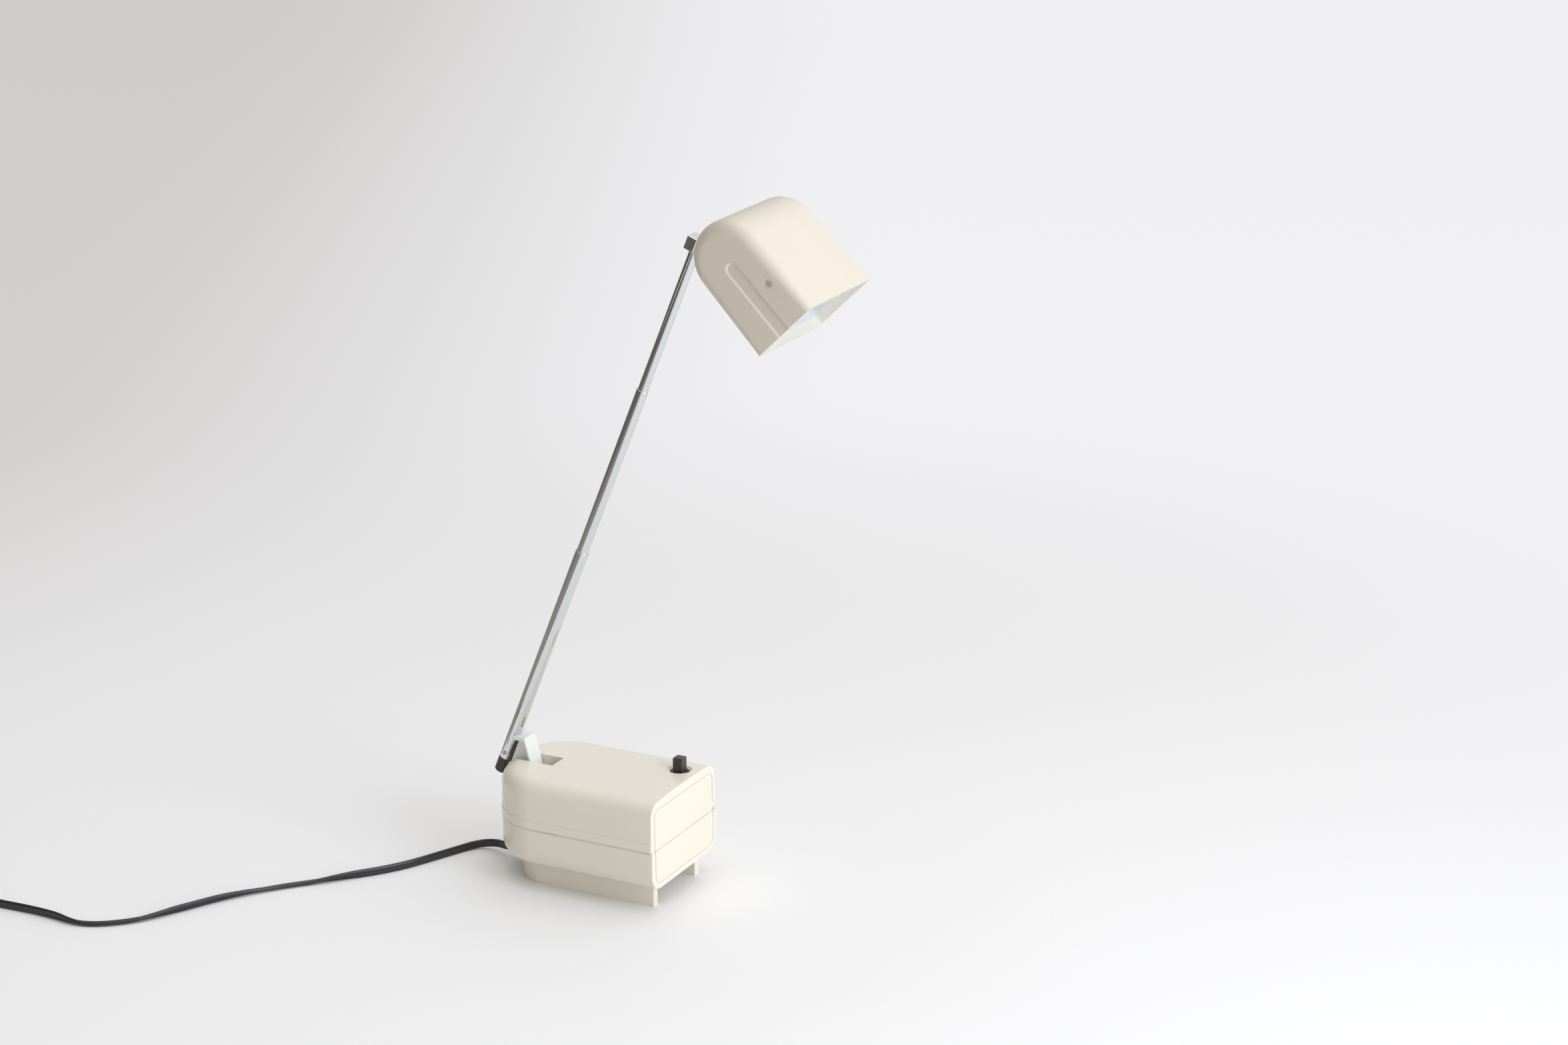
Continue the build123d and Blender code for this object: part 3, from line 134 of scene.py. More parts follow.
def fade(tree: NodeTree, value: NodeSocket, span: tuple[float, float],
         result: tuple[float, float] = (0.0, 1.0), kind: str = "LINEAR") -> NodeSocket:
    """Map a span of a value to a span of results, and hold the results past its ends.

    Args:
        tree: node tree that gets the node.
        value: value to map.
        span: its first and last value.
        result: results at those.
        kind: Blender's name for the way between them.

    Returns:
        The result.
    """
    made = add_node(tree, "ShaderNodeMapRange",
                    {"interpolation_type": kind, "From Min": span[0], "From Max": span[1],
                     "To Min": result[0], "To Max": result[1]}, {"Value": value})
    return made.outputs[0]


def blank_material(name: str) -> tuple[Material, NodeTree, Node]:
    """Make a material that holds nothing but its output node.

    Args:
        name: material's name.

    Returns:
        The material, its node tree and the output node.
    """
    made = bpy.data.materials.new(name)
    made.use_nodes = True
    made.node_tree.nodes.clear()
    return made, made.node_tree, add_node(made.node_tree, "ShaderNodeOutputMaterial")


def surface_object(name: str, points: np.ndarray, patches: list[np.ndarray], crease: float) -> Object:
    """Make a smooth shaded mesh object whose place is in its vertices.

    Args:
        name: object name.
        points: vertex positions in metres, one row each.
        patches: arrays of faces, each with the vertex numbers of one face in a row.
        crease: angle in degrees past which an edge stays sharp.

    Returns:
        The linked object.
    """
    mesh = bpy.data.meshes.new(name)
    mesh.from_pydata(points.tolist(), [], [face for patch in patches for face in patch.tolist()])
    mesh.validate()
    mesh.shade_smooth()
    mesh.set_sharp_from_angle(angle=math.radians(crease))
    made = bpy.data.objects.new(name, mesh)
    bpy.context.scene.collection.objects.link(made)
    return made


def ring_faces(rows: int, columns: int, closed: bool) -> np.ndarray:
    """Number the quads of a grid whose columns run round a ring.

    Args:
        rows: grid rows.
        columns: points round each ring.
        closed: whether the last row joins the first.

    Returns:
        Vertex numbers of each quad.
    """
    row = np.arange(rows if closed else rows - 1)[:, None]
    column = np.arange(columns)[None, :]
    ahead = (row + 1) % rows
    right = (column + 1) % columns
    quads = np.stack([row * columns + column, row * columns + right,
                      ahead * columns + right, ahead * columns + column], axis=-1)
    return quads.reshape(-1, 4)


def turned_surface(profile: np.ndarray, foot: np.ndarray, axis: np.ndarray, side: np.ndarray,
                   columns: int) -> tuple[np.ndarray, np.ndarray]:
    """Turn a closed profile about an axis.

    A point is foot + s * axis + r * (cos u * side + sin u * (axis x side)), for each
    profile pair (r, s) and each angle u round the ring.

    Args:
        profile: radius and height pairs in metres, going round the section.
        foot: point on the axis at height zero.
        axis: unit direction of the axis.
        side: unit direction square to the axis.
        columns: points round each ring.

    Returns:
        Vertices and quads.
    """
    u = np.linspace(0.0, 2.0 * np.pi, columns, endpoint=False)
    spoke = np.cos(u)[:, None] * side + np.sin(u)[:, None] * np.cross(axis, side)
    points = foot + profile[:, 1, None, None] * axis + profile[:, 0, None, None] * spoke[None]
    return points.reshape(-1, 3), ring_faces(len(profile), columns, True)


def merged_copy(node: Object, name: str, crease: float) -> Object:
    """Copy a CAD node's loose triangles into one joined, smooth shaded mesh.

    Args:
        node: CAD node, which is left as it is.
        name: name of the copy.
        crease: angle in degrees past which an edge stays sharp.

    Returns:
        The copy.
    """
    mesh = node.data
    points = np.zeros(len(mesh.vertices) * 3, np.float32)
    mesh.vertices.foreach_get("co", points)
    corners = np.zeros(len(mesh.loops), np.int32)
    mesh.loops.foreach_get("vertex_index", corners)
    rounded, joined = np.unique(np.round(points.reshape(-1, 3), 6), axis=0, return_inverse=True)
    faces = joined.ravel()[corners].reshape(-1, 3)
    whole = ((faces[:, 0] != faces[:, 1]) & (faces[:, 1] != faces[:, 2]) & (faces[:, 2] != faces[:, 0]))
    copy = surface_object(name, rounded, [faces[whole]], crease)
    level = copy.modifiers.new("flat_faces_stay_flat", "WEIGHTED_NORMAL")
    level.mode = "FACE_AREA"
    level.keep_sharp = True
    return copy


class Mould(Enum):
    """How the steel of a plastic piece's mould was finished."""

    POLISHED = 0.05
    SATIN = 0.20


@dataclass(frozen=True)
class Finish:
    """A surface finish that builds its own material once.

    Attributes:
        name: material name, the real material's common name and its making.
        colour: main colour as sRGB hex.
        tint: second colour that the first drifts to.
        roughness: roughness of the even surface.
    """

    name: str
    colour: str
    tint: str
    roughness: float

    def material(self) -> Material:
        """Make the finish's material on first use and give the same one after that.

        Returns:
            The material.
        """
        found = bpy.data.materials.get(self.name)
        if found:
            return found
        made, tree, out = blank_material(self.name)
        made.diffuse_color = linear(self.colour)
        shader = add_node(tree, "ShaderNodeBsdfPrincipled")
        tree.links.new(shader.outputs[0], out.inputs[0])
        place = add_node(tree, "ShaderNodeTexCoord").outputs["Object"]
        self.lay(tree, shader, place)
        return made

    def lay(self, tree: NodeTree, shader: Node, place: NodeSocket) -> None:
        """Lay the finish's nodes before the shader.

        Args:
            tree: material's node tree.
            shader: its principled shader.
            place: object coordinates.
        """
        raise NotImplementedError

    def drift(self, tree: NodeTree, shader: Node, factor: NodeSocket) -> None:
        """Let the base colour go from the colour to the tint with a factor.

        Args:
            tree: material's node tree.
            shader: its principled shader.
            factor: share of the tint.
        """
        mixed = add_node(tree, "ShaderNodeMix",
                         {"data_type": "RGBA", 6: linear(self.colour), 7: linear(self.tint)}, {0: factor})
        tree.links.new(mixed.outputs[2], shader.inputs["Base Color"])

    def polish(self, tree: NodeTree, shader: Node, factor: NodeSocket, spread: float) -> None:
        """Let the roughness swing by a share of itself with a factor.

        Args:
            tree: material's node tree.
            shader: its principled shader.
            factor: noise that drives the swing.
            spread: largest swing as a share of the roughness.
        """
        swing = (self.roughness * (1.0 - spread), self.roughness * (1.0 + spread))
        tree.links.new(fade(tree, factor, NOISE_SPAN, swing), shader.inputs["Roughness"])


@dataclass(frozen=True)
class MouldedPlastic(Finish):
    """Injection moulded plastic: the mould's grain, faint cloudiness and handling marks.

    Attributes:
        mould: finish of the mould's steel, whose value is the grain's strength.
        grain_mm: size of the mould's grain.
        cloud_mm: size of the clouds in its colour.
        rub_mm: size of its rubbed patches.
    """

    mould: Mould = Mould.SATIN
    grain_mm: float = 0.6
    cloud_mm: float = 45.0
    rub_mm: float = 16.0

    def lay(self, tree: NodeTree, shader: Node, place: NodeSocket) -> None:
        """Cloudy colour, rubbed patches and the mould's fine grain."""
        self.drift(tree, shader, noise(tree, place, self.cloud_mm))
        self.polish(tree, shader, noise(tree, place, self.rub_mm), spread=0.12)
        bump = add_node(tree, "ShaderNodeBump",
                        {"Strength": self.mould.value, "Distance": GRAIN_DEPTH * self.grain_mm * MM},
                        {"Height": noise(tree, place, self.grain_mm)})
        tree.links.new(bump.outputs[0], shader.inputs["Normal"])
        shader.inputs["IOR"].default_value = PLASTIC_IOR

    def lay_dust_and_shade(self, tree: NodeTree, shader: Node, share: NodeSocket, dust_and_shade: str) -> None:
        """Lay one colour of dust and painted shade over the base colour by a share.

        Args:
            tree: material's node tree.
            shader: its principled shader.
            share: how much of the colour it covers.
            dust_and_shade: colour of the dust and painted shade.
        """
        clean = shader.inputs["Base Color"].links[0].from_socket
        mixed = add_node(tree, "ShaderNodeMix", {"data_type": "RGBA", 7: linear(dust_and_shade)}, {0: share, 6: clean})
        tree.links.new(mixed.outputs[2], shader.inputs["Base Color"])


@dataclass(frozen=True)
class JointedMoulding(MouldedPlastic):
    """Moulded plastic in two halves, with dust and painted shade along their joint, left paler on the brightly
    lit front.

    Attributes:
        joint_mm: height of the joint.
        reach_mm: how far the dust and painted shade reach up and down from it.
        lit_front_mm: where the front begins, which is brightly lit, so its joint is painted nearly clean.
        dust_and_shade: colour of the dust and painted shade.
        core_mm: how far it lies thick.
        lit_front_fade_mm: length over which the lit front's paler joint fades in.
        patch_mm: length of its patches.
        dust_and_shade_share: share of the colour that it covers, where it is thin and where it is thick.
        lit_front_share: share of the dust and painted shade that is left on the lit front.
    """

    joint_mm: float = 38.5
    reach_mm: float = 1.0
    lit_front_mm: float = 98.5
    dust_and_shade: str = "#a78f77"
    core_mm: float = 0.2
    lit_front_fade_mm: float = 1.5
    patch_mm: float = 20.0
    dust_and_shade_share: tuple[float, float] = (0.2, 0.5)
    lit_front_share: float = 0.2

    def drift(self, tree: NodeTree, shader: Node, factor: NodeSocket) -> None:
        """Drift the colour, then darken it along the joint in patches with dust and painted shade."""
        super().drift(tree, shader, factor)
        place = add_node(tree, "ShaderNodeTexCoord").outputs["Object"]
        parts = add_node(tree, "ShaderNodeSeparateXYZ", None, {0: place})
        above = add_node(tree, "ShaderNodeMath", {"operation": "SUBTRACT", 1: self.joint_mm * MM},
                         {0: parts.outputs["Z"]})
        away = add_node(tree, "ShaderNodeMath", {"operation": "ABSOLUTE"}, {0: above.outputs[0]})
        near = fade(tree, away.outputs[0], (self.core_mm * MM, self.reach_mm * MM), (1.0, 0.0), "SMOOTHSTEP")
        broken = fade(tree, noise(tree, place, self.patch_mm), PATCH_SPAN, self.dust_and_shade_share)
        # Painted shade: the brightly lit front keeps only a little of the joint's dust and painted shade.
        front = (self.lit_front_mm * MM, (self.lit_front_mm + self.lit_front_fade_mm) * MM)
        lit_front = fade(tree, parts.outputs["X"], front, (1.0, self.lit_front_share))
        left = add_node(tree, "ShaderNodeMath", {"operation": "MULTIPLY"}, {0: lit_front, 1: broken})
        share = add_node(tree, "ShaderNodeMath", {"operation": "MULTIPLY"}, {0: near, 1: left.outputs[0]})
        self.lay_dust_and_shade(tree, shader, share.outputs[0], self.dust_and_shade)


@dataclass(frozen=True)
class DimpledMoulding(MouldedPlastic):
    """Moulded plastic with a shallow dimple in each side, darkened with painted shade.

    Attributes:
        dimple_mm: the dimples' place, as seen from the side.
        dimple_radius_mm: their radius.
        dimple_shade: colour of the painted shade in the dimples.
        flat_share: share of the radius over which the painted shade is even.
        dimple_shade_share: share of the colour that it covers there.
    """

    dimple_mm: tuple[float, float, float] = (174.13, 0.0, 381.49)
    dimple_radius_mm: float = 3.4
    dimple_shade: str = "#8d7f6e"
    flat_share: float = 0.2
    dimple_shade_share: float = 0.55

    def drift(self, tree: NodeTree, shader: Node, factor: NodeSocket) -> None:
        """Drift the colour, then darken it towards the bottom of the dimples with painted shade."""
        super().drift(tree, shader, factor)
        place = add_node(tree, "ShaderNodeTexCoord").outputs["Object"]
        from_side = add_node(tree, "ShaderNodeMapping", {"Scale": (1.0, 0.0, 1.0)}, {"Vector": place})
        reach = add_node(tree, "ShaderNodeVectorMath",
                         {"operation": "DISTANCE", 1: tuple(v * MM for v in self.dimple_mm)},
                         {0: from_side.outputs[0]})
        radius = self.dimple_radius_mm * MM
        share = fade(tree, reach.outputs["Value"], (self.flat_share * radius, radius), (self.dimple_shade_share, 0.0),
                     "SMOOTHSTEP")
        # Painted shade towards the bottom of each dimple.
        self.lay_dust_and_shade(tree, shader, share, self.dimple_shade)


@dataclass(frozen=True)
class PlatedMetal(Finish):
    """Polished or plated metal with hair lines drawn along the arm and a breath of wear.

    Attributes:
        line_mm: spacing of the hair lines.
        line_strength: how strongly they bend the reflections.
        stretch: how many times longer than wide they are.
        dull_mm: size of the dulled patches.
    """

    line_mm: float = 0.25
    line_strength: float = 0.03
    stretch: float = 40.0
    dull_mm: float = 14.0

    def lay(self, tree: NodeTree, shader: Node, place: NodeSocket) -> None:
        """Hair lines stretched along the arm, and dulled patches."""
        shader.inputs["Metallic"].default_value = 1.0
        turned = add_node(tree, "ShaderNodeMapping", {"Rotation": (0.0, -ARM_LEAN, 0.0)}, {"Vector": place})
        drawn = add_node(tree, "ShaderNodeMapping", {"Scale": (1.0, 1.0, 1.0 / self.stretch)},
                         {"Vector": turned.outputs[0]})
        lines = noise(tree, drawn.outputs[0], self.line_mm, 2.0)
        dull = add_node(tree, "ShaderNodeTexNoise",
                        {"Scale": 1.0 / (self.dull_mm * MM), "Detail": 6.0, "Roughness": 0.65},
                        {"Vector": place})
        self.drift(tree, shader, dull.outputs["Fac"])
        self.polish(tree, shader, dull.outputs["Fac"], spread=0.5)
        bump = add_node(tree, "ShaderNodeBump", {"Strength": self.line_strength, "Distance": 0.02 * MM},
                        {"Height": lines})
        tree.links.new(bump.outputs[0], shader.inputs["Normal"])


@dataclass(frozen=True)
class LayeredMetal(Finish):
    """Stacked sheets or wound wire: fine lines a sheet or a wire apart.

    Attributes:
        pitch_mm: distance between the lines.
        direction: axis that the lines are stacked along.
    """

    pitch_mm: float = 0.5
    direction: str = "Y"

    def lay(self, tree: NodeTree, shader: Node, place: NodeSocket) -> None:
        """Bands at the pitch, darker and lower between the sheets."""
        shader.inputs["Metallic"].default_value = 0.8
        bands = add_node(tree, "ShaderNodeTexWave",
                         {"wave_type": "BANDS", "bands_direction": self.direction,
                          "Scale": WAVE_PITCH / (self.pitch_mm * MM), "Distortion": 0.4, "Detail": 1.0},
                         {"Vector": place})
        self.drift(tree, shader, bands.outputs["Fac"])
        self.polish(tree, shader, bands.outputs["Fac"], spread=0.3)
        bump = add_node(tree, "ShaderNodeBump", {"Strength": 0.4, "Distance": 0.1 * MM},
                        {"Height": bands.outputs["Fac"]})
        tree.links.new(bump.outputs[0], shader.inputs["Normal"])


@dataclass(frozen=True)
class SprayedEnamel(Finish):
    """Sprayed and baked enamel with a slight orange peel.

    Attributes:
        peel_mm: size of the orange peel.
        drift_mm: length over which the colour drifts.
    """

    peel_mm: float = 1.4
    drift_mm: float = 20.0

    def lay(self, tree: NodeTree, shader: Node, place: NodeSocket) -> None:
        """Soft orange peel in the gloss and a colour that drifts."""
        warm = noise(tree, place, self.drift_mm, 2.0)
        self.drift(tree, shader, warm)
        self.polish(tree, shader, warm, spread=0.2)
        bump = add_node(tree, "ShaderNodeBump", {"Strength": 0.12, "Distance": 0.1 * MM},
                        {"Height": noise(tree, place, self.peel_mm)})
        tree.links.new(bump.outputs[0], shader.inputs["Normal"])


@dataclass(frozen=True)
class PearlGlass(Finish):
    """Bulb glass etched inside: milky, with a bright smooth outer skin.

    Attributes:
        cloud_mm: size of the clouds in which the milkiness thins.
    """

    cloud_mm: float = 6.0

    def lay(self, tree: NodeTree, shader: Node, place: NodeSocket) -> None:
        """Even milkiness that thins in clouds."""
        shader.inputs["Transmission Weight"].default_value = 0.35
        shader.inputs["IOR"].default_value = GLASS_IOR
        milk = noise(tree, place, self.cloud_mm, 3.0)
        self.drift(tree, shader, milk)
        self.polish(tree, shader, milk, spread=0.25)


# Injection moulded ABS from a polished mould, a little yellowed: a smooth warm skin with a soft sheen.
# Its joint is darkened with dust and painted shade, left paler on the lit front.
CREAM_ABS = JointedMoulding("cream_abs_polished_moulding", "#e9e4d6", "#e6e0d1", 0.22, Mould.POLISHED, 8.0)
# The same plastic from a satin mould: the shade's light fades slowly round its bends. Its colour is darker
# than the case's, partly as painted shade for the weaker light that reaches it up on the arm, and its dimples
# hold painted shade.
# Satin grain is near 0.1 mm on the real pieces; it is drawn over 1 mm coarse so that it shows.
CREAM_ABS_SATIN = DimpledMoulding("cream_abs_satin_moulding", "#d8d0c1", "#d4cbbb", 0.42, Mould.SATIN, 1.5)
# The shade's inside, paler than its outside: painted light for what the reflector and the mouth let fall into
# it.
CREAM_ABS_PAINTED_LIGHT_INSIDE = MouldedPlastic("cream_abs_inside_painted_light", "#f0ece2", "#ece7dc", 0.42, Mould.SATIN, 1.5)
# Unpigmented white ABS: colder than the case, with the same satin skin.
WHITE_ABS = MouldedPlastic("white_abs_satin_moulding", "#e8ebe7", "#e0e4e0", 0.36, Mould.SATIN, 1.2)
# Black ABS: nearly no colour, so that the eye sees its sheen along the edges.
BLACK_ABS = MouldedPlastic("black_abs_satin_moulding", "#302b2b", "#3a3535", 0.36, Mould.SATIN, 1.2)
# Compression moulded phenolic: dark brown with a faint cloud of filler.
PHENOLIC = MouldedPlastic("brown_phenolic_moulding", "#2c2521", "#3a302a", 0.4, Mould.SATIN, 1.2)
# Extruded PVC sheath: black with a waxy sheen, a little uneven from its die.
BLACK_PVC = MouldedPlastic("black_pvc_flex_extruded", "#202023", "#2c2c30", 0.28, Mould.SATIN, 0.9)
# Chromium over polished brass: a cool mirror, hazed by fine hair lines.
CHROME = PlatedMetal("chromium_plated_brass_polished", "#dfe1e2", "#d6d9da", 0.06, 0.8, 0.004)
# Zinc plated steel: pale grey and only half bright.
STEEL = PlatedMetal("zinc_plated_steel_bright", "#a9abad", "#94969a", 0.3, 0.4, 0.08)
# Rolled brass of springs and contacts: yellow with rolling lines.
BRASS = PlatedMetal("contact_brass_rolled", "#b79a5e", "#a3854c", 0.28, 0.4, 0.08)
# Stacked silicon steel sheets: dark bands with a bright edge at each sheet.
CORE_STEEL = LayeredMetal("silicon_steel_laminations", "#4b4c4f", "#2a2a2c", 0.45, 0.5, "Y")
# Lacquered copper wire in layers: red brown rings a wire apart.
WIRE = LayeredMetal("enamelled_copper_winding", "#a4562c", "#5e2c14", 0.35, 0.6, "Z")
# White stoving enamel on thin sheet: a cold clean white with a soft orange peel.
ENAMEL = SprayedEnamel("white_baked_enamel", "#eaeef2", "#e2e7ec", 0.3)
# Soda glass frosted inside: milky, with a smooth bright outer skin.
GLASS = PearlGlass("pearl_bulb_glass", "#eceae4", "#f4f3ef", 0.22)


def dress(obj: Object, finish: Finish) -> None:
    """Give an object one finish in place of whatever it had.

    Args:
        obj: object to dress.
        finish: its finish.
    """
    obj.data.materials.clear()
    obj.data.materials.append(finish.material())


@dataclass
class PhotoCamera:
    """Camera at the photograph's place, worked out from the case's straight edges.

    Attributes:
        place: camera position.
        target: point in the middle of the picture.
        focal_pixels: focal length in pixels of the photograph.
        picture_width: photograph's width in pixels.
        sensor: width of a full-frame sensor.
        far_clip: distance past which nothing is drawn.
    """

    place: tuple[float, float, float] = (1001.7, -1661.1, 831.4)
    target: tuple[float, float, float] = (164.92, 0.0, 235.79)
    focal_pixels: float = 5274.0
    picture_width: float = 2352.0
    sensor: float = 36.0
    far_clip: float = 60000.0

    def build(self) -> None:
        """Make the camera and give it to the scene."""
        data = bpy.data.cameras.new("photo_camera")
        data.sensor_fit = "HORIZONTAL"
        data.sensor_width = self.sensor
        data.lens = self.sensor * self.focal_pixels / self.picture_width
        data.clip_end = self.far_clip * MM
        camera = bpy.data.objects.new("photo_camera", data)
        bpy.context.scene.collection.objects.link(camera)
        camera.location = Vector(self.place) * MM
        camera.rotation_euler = (Vector(self.target) - Vector(self.place)).to_track_quat("-Z", "Y").to_euler()
        bpy.context.scene.camera = camera


@dataclass(frozen=True)
class SoftBox:
    """A square soft box.

    Attributes:
        name: light's name.
        place: its position.
        side: length of its side.
        power: its power in watts.
        tint: colour of its light.
    """

    name: str
    place: tuple[float, float, float]
    side: float
    power: float
    tint: str = "#ffffff"

    def hang(self, aim: tuple[float, float, float]) -> None:
        """Hang the soft box and turn it to the point that it shines at.

        Args:
            aim: point in millimetres.
        """
        data = bpy.data.lights.new(self.name, "AREA")
        data.shape = "SQUARE"
        data.size = self.side * MM
        data.energy = self.power
        data.color = linear(self.tint)[:3]
        lamp = bpy.data.objects.new(self.name, data)
        bpy.context.scene.collection.objects.link(lamp)
        lamp.location = Vector(self.place) * MM
        lamp.rotation_euler = (Vector(aim) - Vector(self.place)).to_track_quat("-Z", "Y").to_euler()
        lamp.visible_camera = False


@dataclass
class Studio:
    """White paper floor, soft boxes, a room with a bright side and a dark card at the front left.

    Attributes:
        floor_half: half the floor's side.
        paper: colour of the paper.
        fibre: size of its fibres.
        far_dim: tone of the distant paper at the far left, where its painted light is dimmest.
        far_bright: tone of the distant paper at the near right, where its painted light is brightest.
        sight: camera's heading over the floor in degrees.
        boxes: soft boxes.
        aim: point that they shine at.
        room_bright: room's colour towards the window.
        room_dark: room's colour on the other side.
        window: direction of the room's bright side.
        card_low: tone of the card's foot; only shiny pieces show the card.
        card_high: tone of the card's top.
        card_fade: heights between which its tone goes from low to high.
        card_middle: middle of the card's round.
        card_radius: radius of the card's round.
        card_height: height of the card.
        card_arc: first and last heading of the card in degrees.
        card_points: points along the card.
        depth_fade: distances along the sight over which the far paper dims.
        depth_share: share of the bright tone that the depth adds.
        aside_fade: distances from right to left over which the far paper dims.
        aside_share: share of the bright tone that the right side adds.
        shadow_fade: distances from the lamp over which shadowed paper gives way to the far paper's painted
            tone.
        room_span: how far the room's tones reach from the window's direction.
    """

    floor_half: float = 14000.0
    paper: str = "#efeeed"
    fibre: float = 2.5
    far_dim: str = "#cfccca"
    far_bright: str = "#f3f3f6"
    sight: float = 116.7
    boxes: list[SoftBox] = field(default_factory=lambda: [
        SoftBox("right_box", (1260.0, -330.0, 540.0), 760.0, 8.0, "#eff6ff"),
        SoftBox("front_box", (1300.0, -2100.0, 800.0), 2000.0, 3.3, "#ffe9cc"),
        SoftBox("overhead_box", (200.0, 100.0, 2600.0), 1800.0, 16.0, "#f7faff")])
    aim: tuple[float, float, float] = (60.0, 0.0, 150.0)
    room_bright: str = "#fefeff"
    room_dark: str = "#615a51"
    window: tuple[float, float, float] = (0.66, 0.60, 0.45)
    card_low: str = "#9a948e"
    card_high: str = "#6c6661"
    card_fade: tuple[float, float] = (110.0, 250.0)
    card_middle: tuple[float, float] = (60.0, -4.0)
    card_radius: float = 480.0
    card_height: float = 320.0
    card_arc: tuple[float, float] = (-200.0, -84.0)
    card_points: int = 48
    depth_fade: tuple[float, float] = (-200.0, 2800.0)
    depth_share: float = 0.12
    aside_fade: tuple[float, float] = (-250.0, 620.0)
    aside_share: float = 0.88
    shadow_fade: tuple[float, float] = (300.0, 1100.0)
    room_span: tuple[float, float] = (-0.6, 0.8)

    def build(self) -> None:
        """Set the view, the floor, the room, the card and the soft boxes."""
        bpy.context.scene.view_settings.view_transform = "Standard"
        self.lay_floor()
        self.light_room()
        self.stand_card()
        for box in self.boxes:
            box.hang(self.aim)

    def lay_floor(self) -> None:
        """Lay the floor, a flat sheet just under the lamp."""
        half = self.floor_half * MM
        corners = np.array([[-half, -half, 0.0], [half, -half, 0.0], [half, half, 0.0], [-half, half, 0.0]])
        floor = surface_object("paper_floor", corners, [np.array([[0, 1, 2, 3]])], crease=30.0)
        floor.data.materials.append(self.paper_material())

    def paper_material(self) -> Material:
        """Make matt paper that keeps the lamp's shadow near it and far away glows with painted light, dimmer
        to the left and far back.

        Returns:
            The material.
        """
        made, tree, out = blank_material("white_background_paper")
        place = add_node(tree, "ShaderNodeTexCoord").outputs["Object"]
        bump = add_node(tree, "ShaderNodeBump", {"Strength": 0.03, "Distance": 0.1 * MM},
                        {"Height": noise(tree, place, self.fibre, 4.0)})
        near = add_node(tree, "ShaderNodeBsdfDiffuse", {"Color": linear(self.paper)},
                        {"Normal": bump.outputs[0]})
        # X of the turned place runs away from the camera and Y to its left.
        turned = add_node(tree, "ShaderNodeMapping", {"Rotation": (0.0, 0.0, -math.radians(self.sight))},
                          {"Vector": place})
        parts = add_node(tree, "ShaderNodeSeparateXYZ", None, {0: turned.outputs[0]})
        depth = fade(tree, parts.outputs["X"], (self.depth_fade[0] * MM, self.depth_fade[1] * MM),
                     (self.depth_share, 0.0))
        aside = fade(tree, parts.outputs["Y"], (self.aside_fade[0] * MM, self.aside_fade[1] * MM),
                     (self.aside_share, 0.0), "SMOOTHSTEP")
        share = add_node(tree, "ShaderNodeMath", {"operation": "ADD", "use_clamp": True}, {0: depth, 1: aside})
        # Painted light: the far paper glows brighter to the right and towards the camera, dimmer to the left
        # and far back.
        tone = add_node(tree, "ShaderNodeMix",
                        {"data_type": "RGBA", 6: linear(self.far_dim), 7: linear(self.far_bright)},
                        {0: share.outputs[0]})
        far = add_node(tree, "ShaderNodeEmission", None, {"Color": tone.outputs[2]})
        reach = add_node(tree, "ShaderNodeVectorMath", {"operation": "LENGTH"}, {0: place})
        away = fade(tree, reach.outputs["Value"], (self.shadow_fade[0] * MM, self.shadow_fade[1] * MM),
                    kind="SMOOTHSTEP")
        ray = add_node(tree, "ShaderNodeLightPath")
        seen = add_node(tree, "ShaderNodeMath", {"operation": "MAXIMUM"},
                        {0: ray.outputs["Is Camera Ray"], 1: ray.outputs["Is Glossy Ray"]})
        shown = add_node(tree, "ShaderNodeMath", {"operation": "MAXIMUM"},
                         {0: seen.outputs[0], 1: ray.outputs["Is Transmission Ray"]})
        swap = add_node(tree, "ShaderNodeMath", {"operation": "MULTIPLY"}, {0: away, 1: shown.outputs[0]})
        mixed = add_node(tree, "ShaderNodeMixShader", None,
                         {0: swap.outputs[0], 1: near.outputs[0], 2: far.outputs[0]})
        tree.links.new(mixed.outputs[0], out.inputs[0])
        return made

    def light_room(self) -> None:
        """Light the room: bright towards the window, dim on the other side."""
        world = bpy.data.worlds.new("studio_room")
        bpy.context.scene.world = world
        world.use_nodes = True
        tree = world.node_tree
        tree.nodes.clear()
        out = add_node(tree, "ShaderNodeOutputWorld")
        coords = add_node(tree, "ShaderNodeTexCoord")
        towards = add_node(tree, "ShaderNodeVectorMath", {"operation": "DOT_PRODUCT", 1: self.window},
                           {0: coords.outputs["Generated"]})
        tone = add_node(tree, "ShaderNodeMix",
                        {"data_type": "RGBA", 6: linear(self.room_dark), 7: linear(self.room_bright)},
                        {0: fade(tree, towards.outputs["Value"], self.room_span)})
        glow = add_node(tree, "ShaderNodeBackground", {"Strength": 1.0}, {"Color": tone.outputs[2]})
        tree.links.new(glow.outputs[0], out.inputs[0])

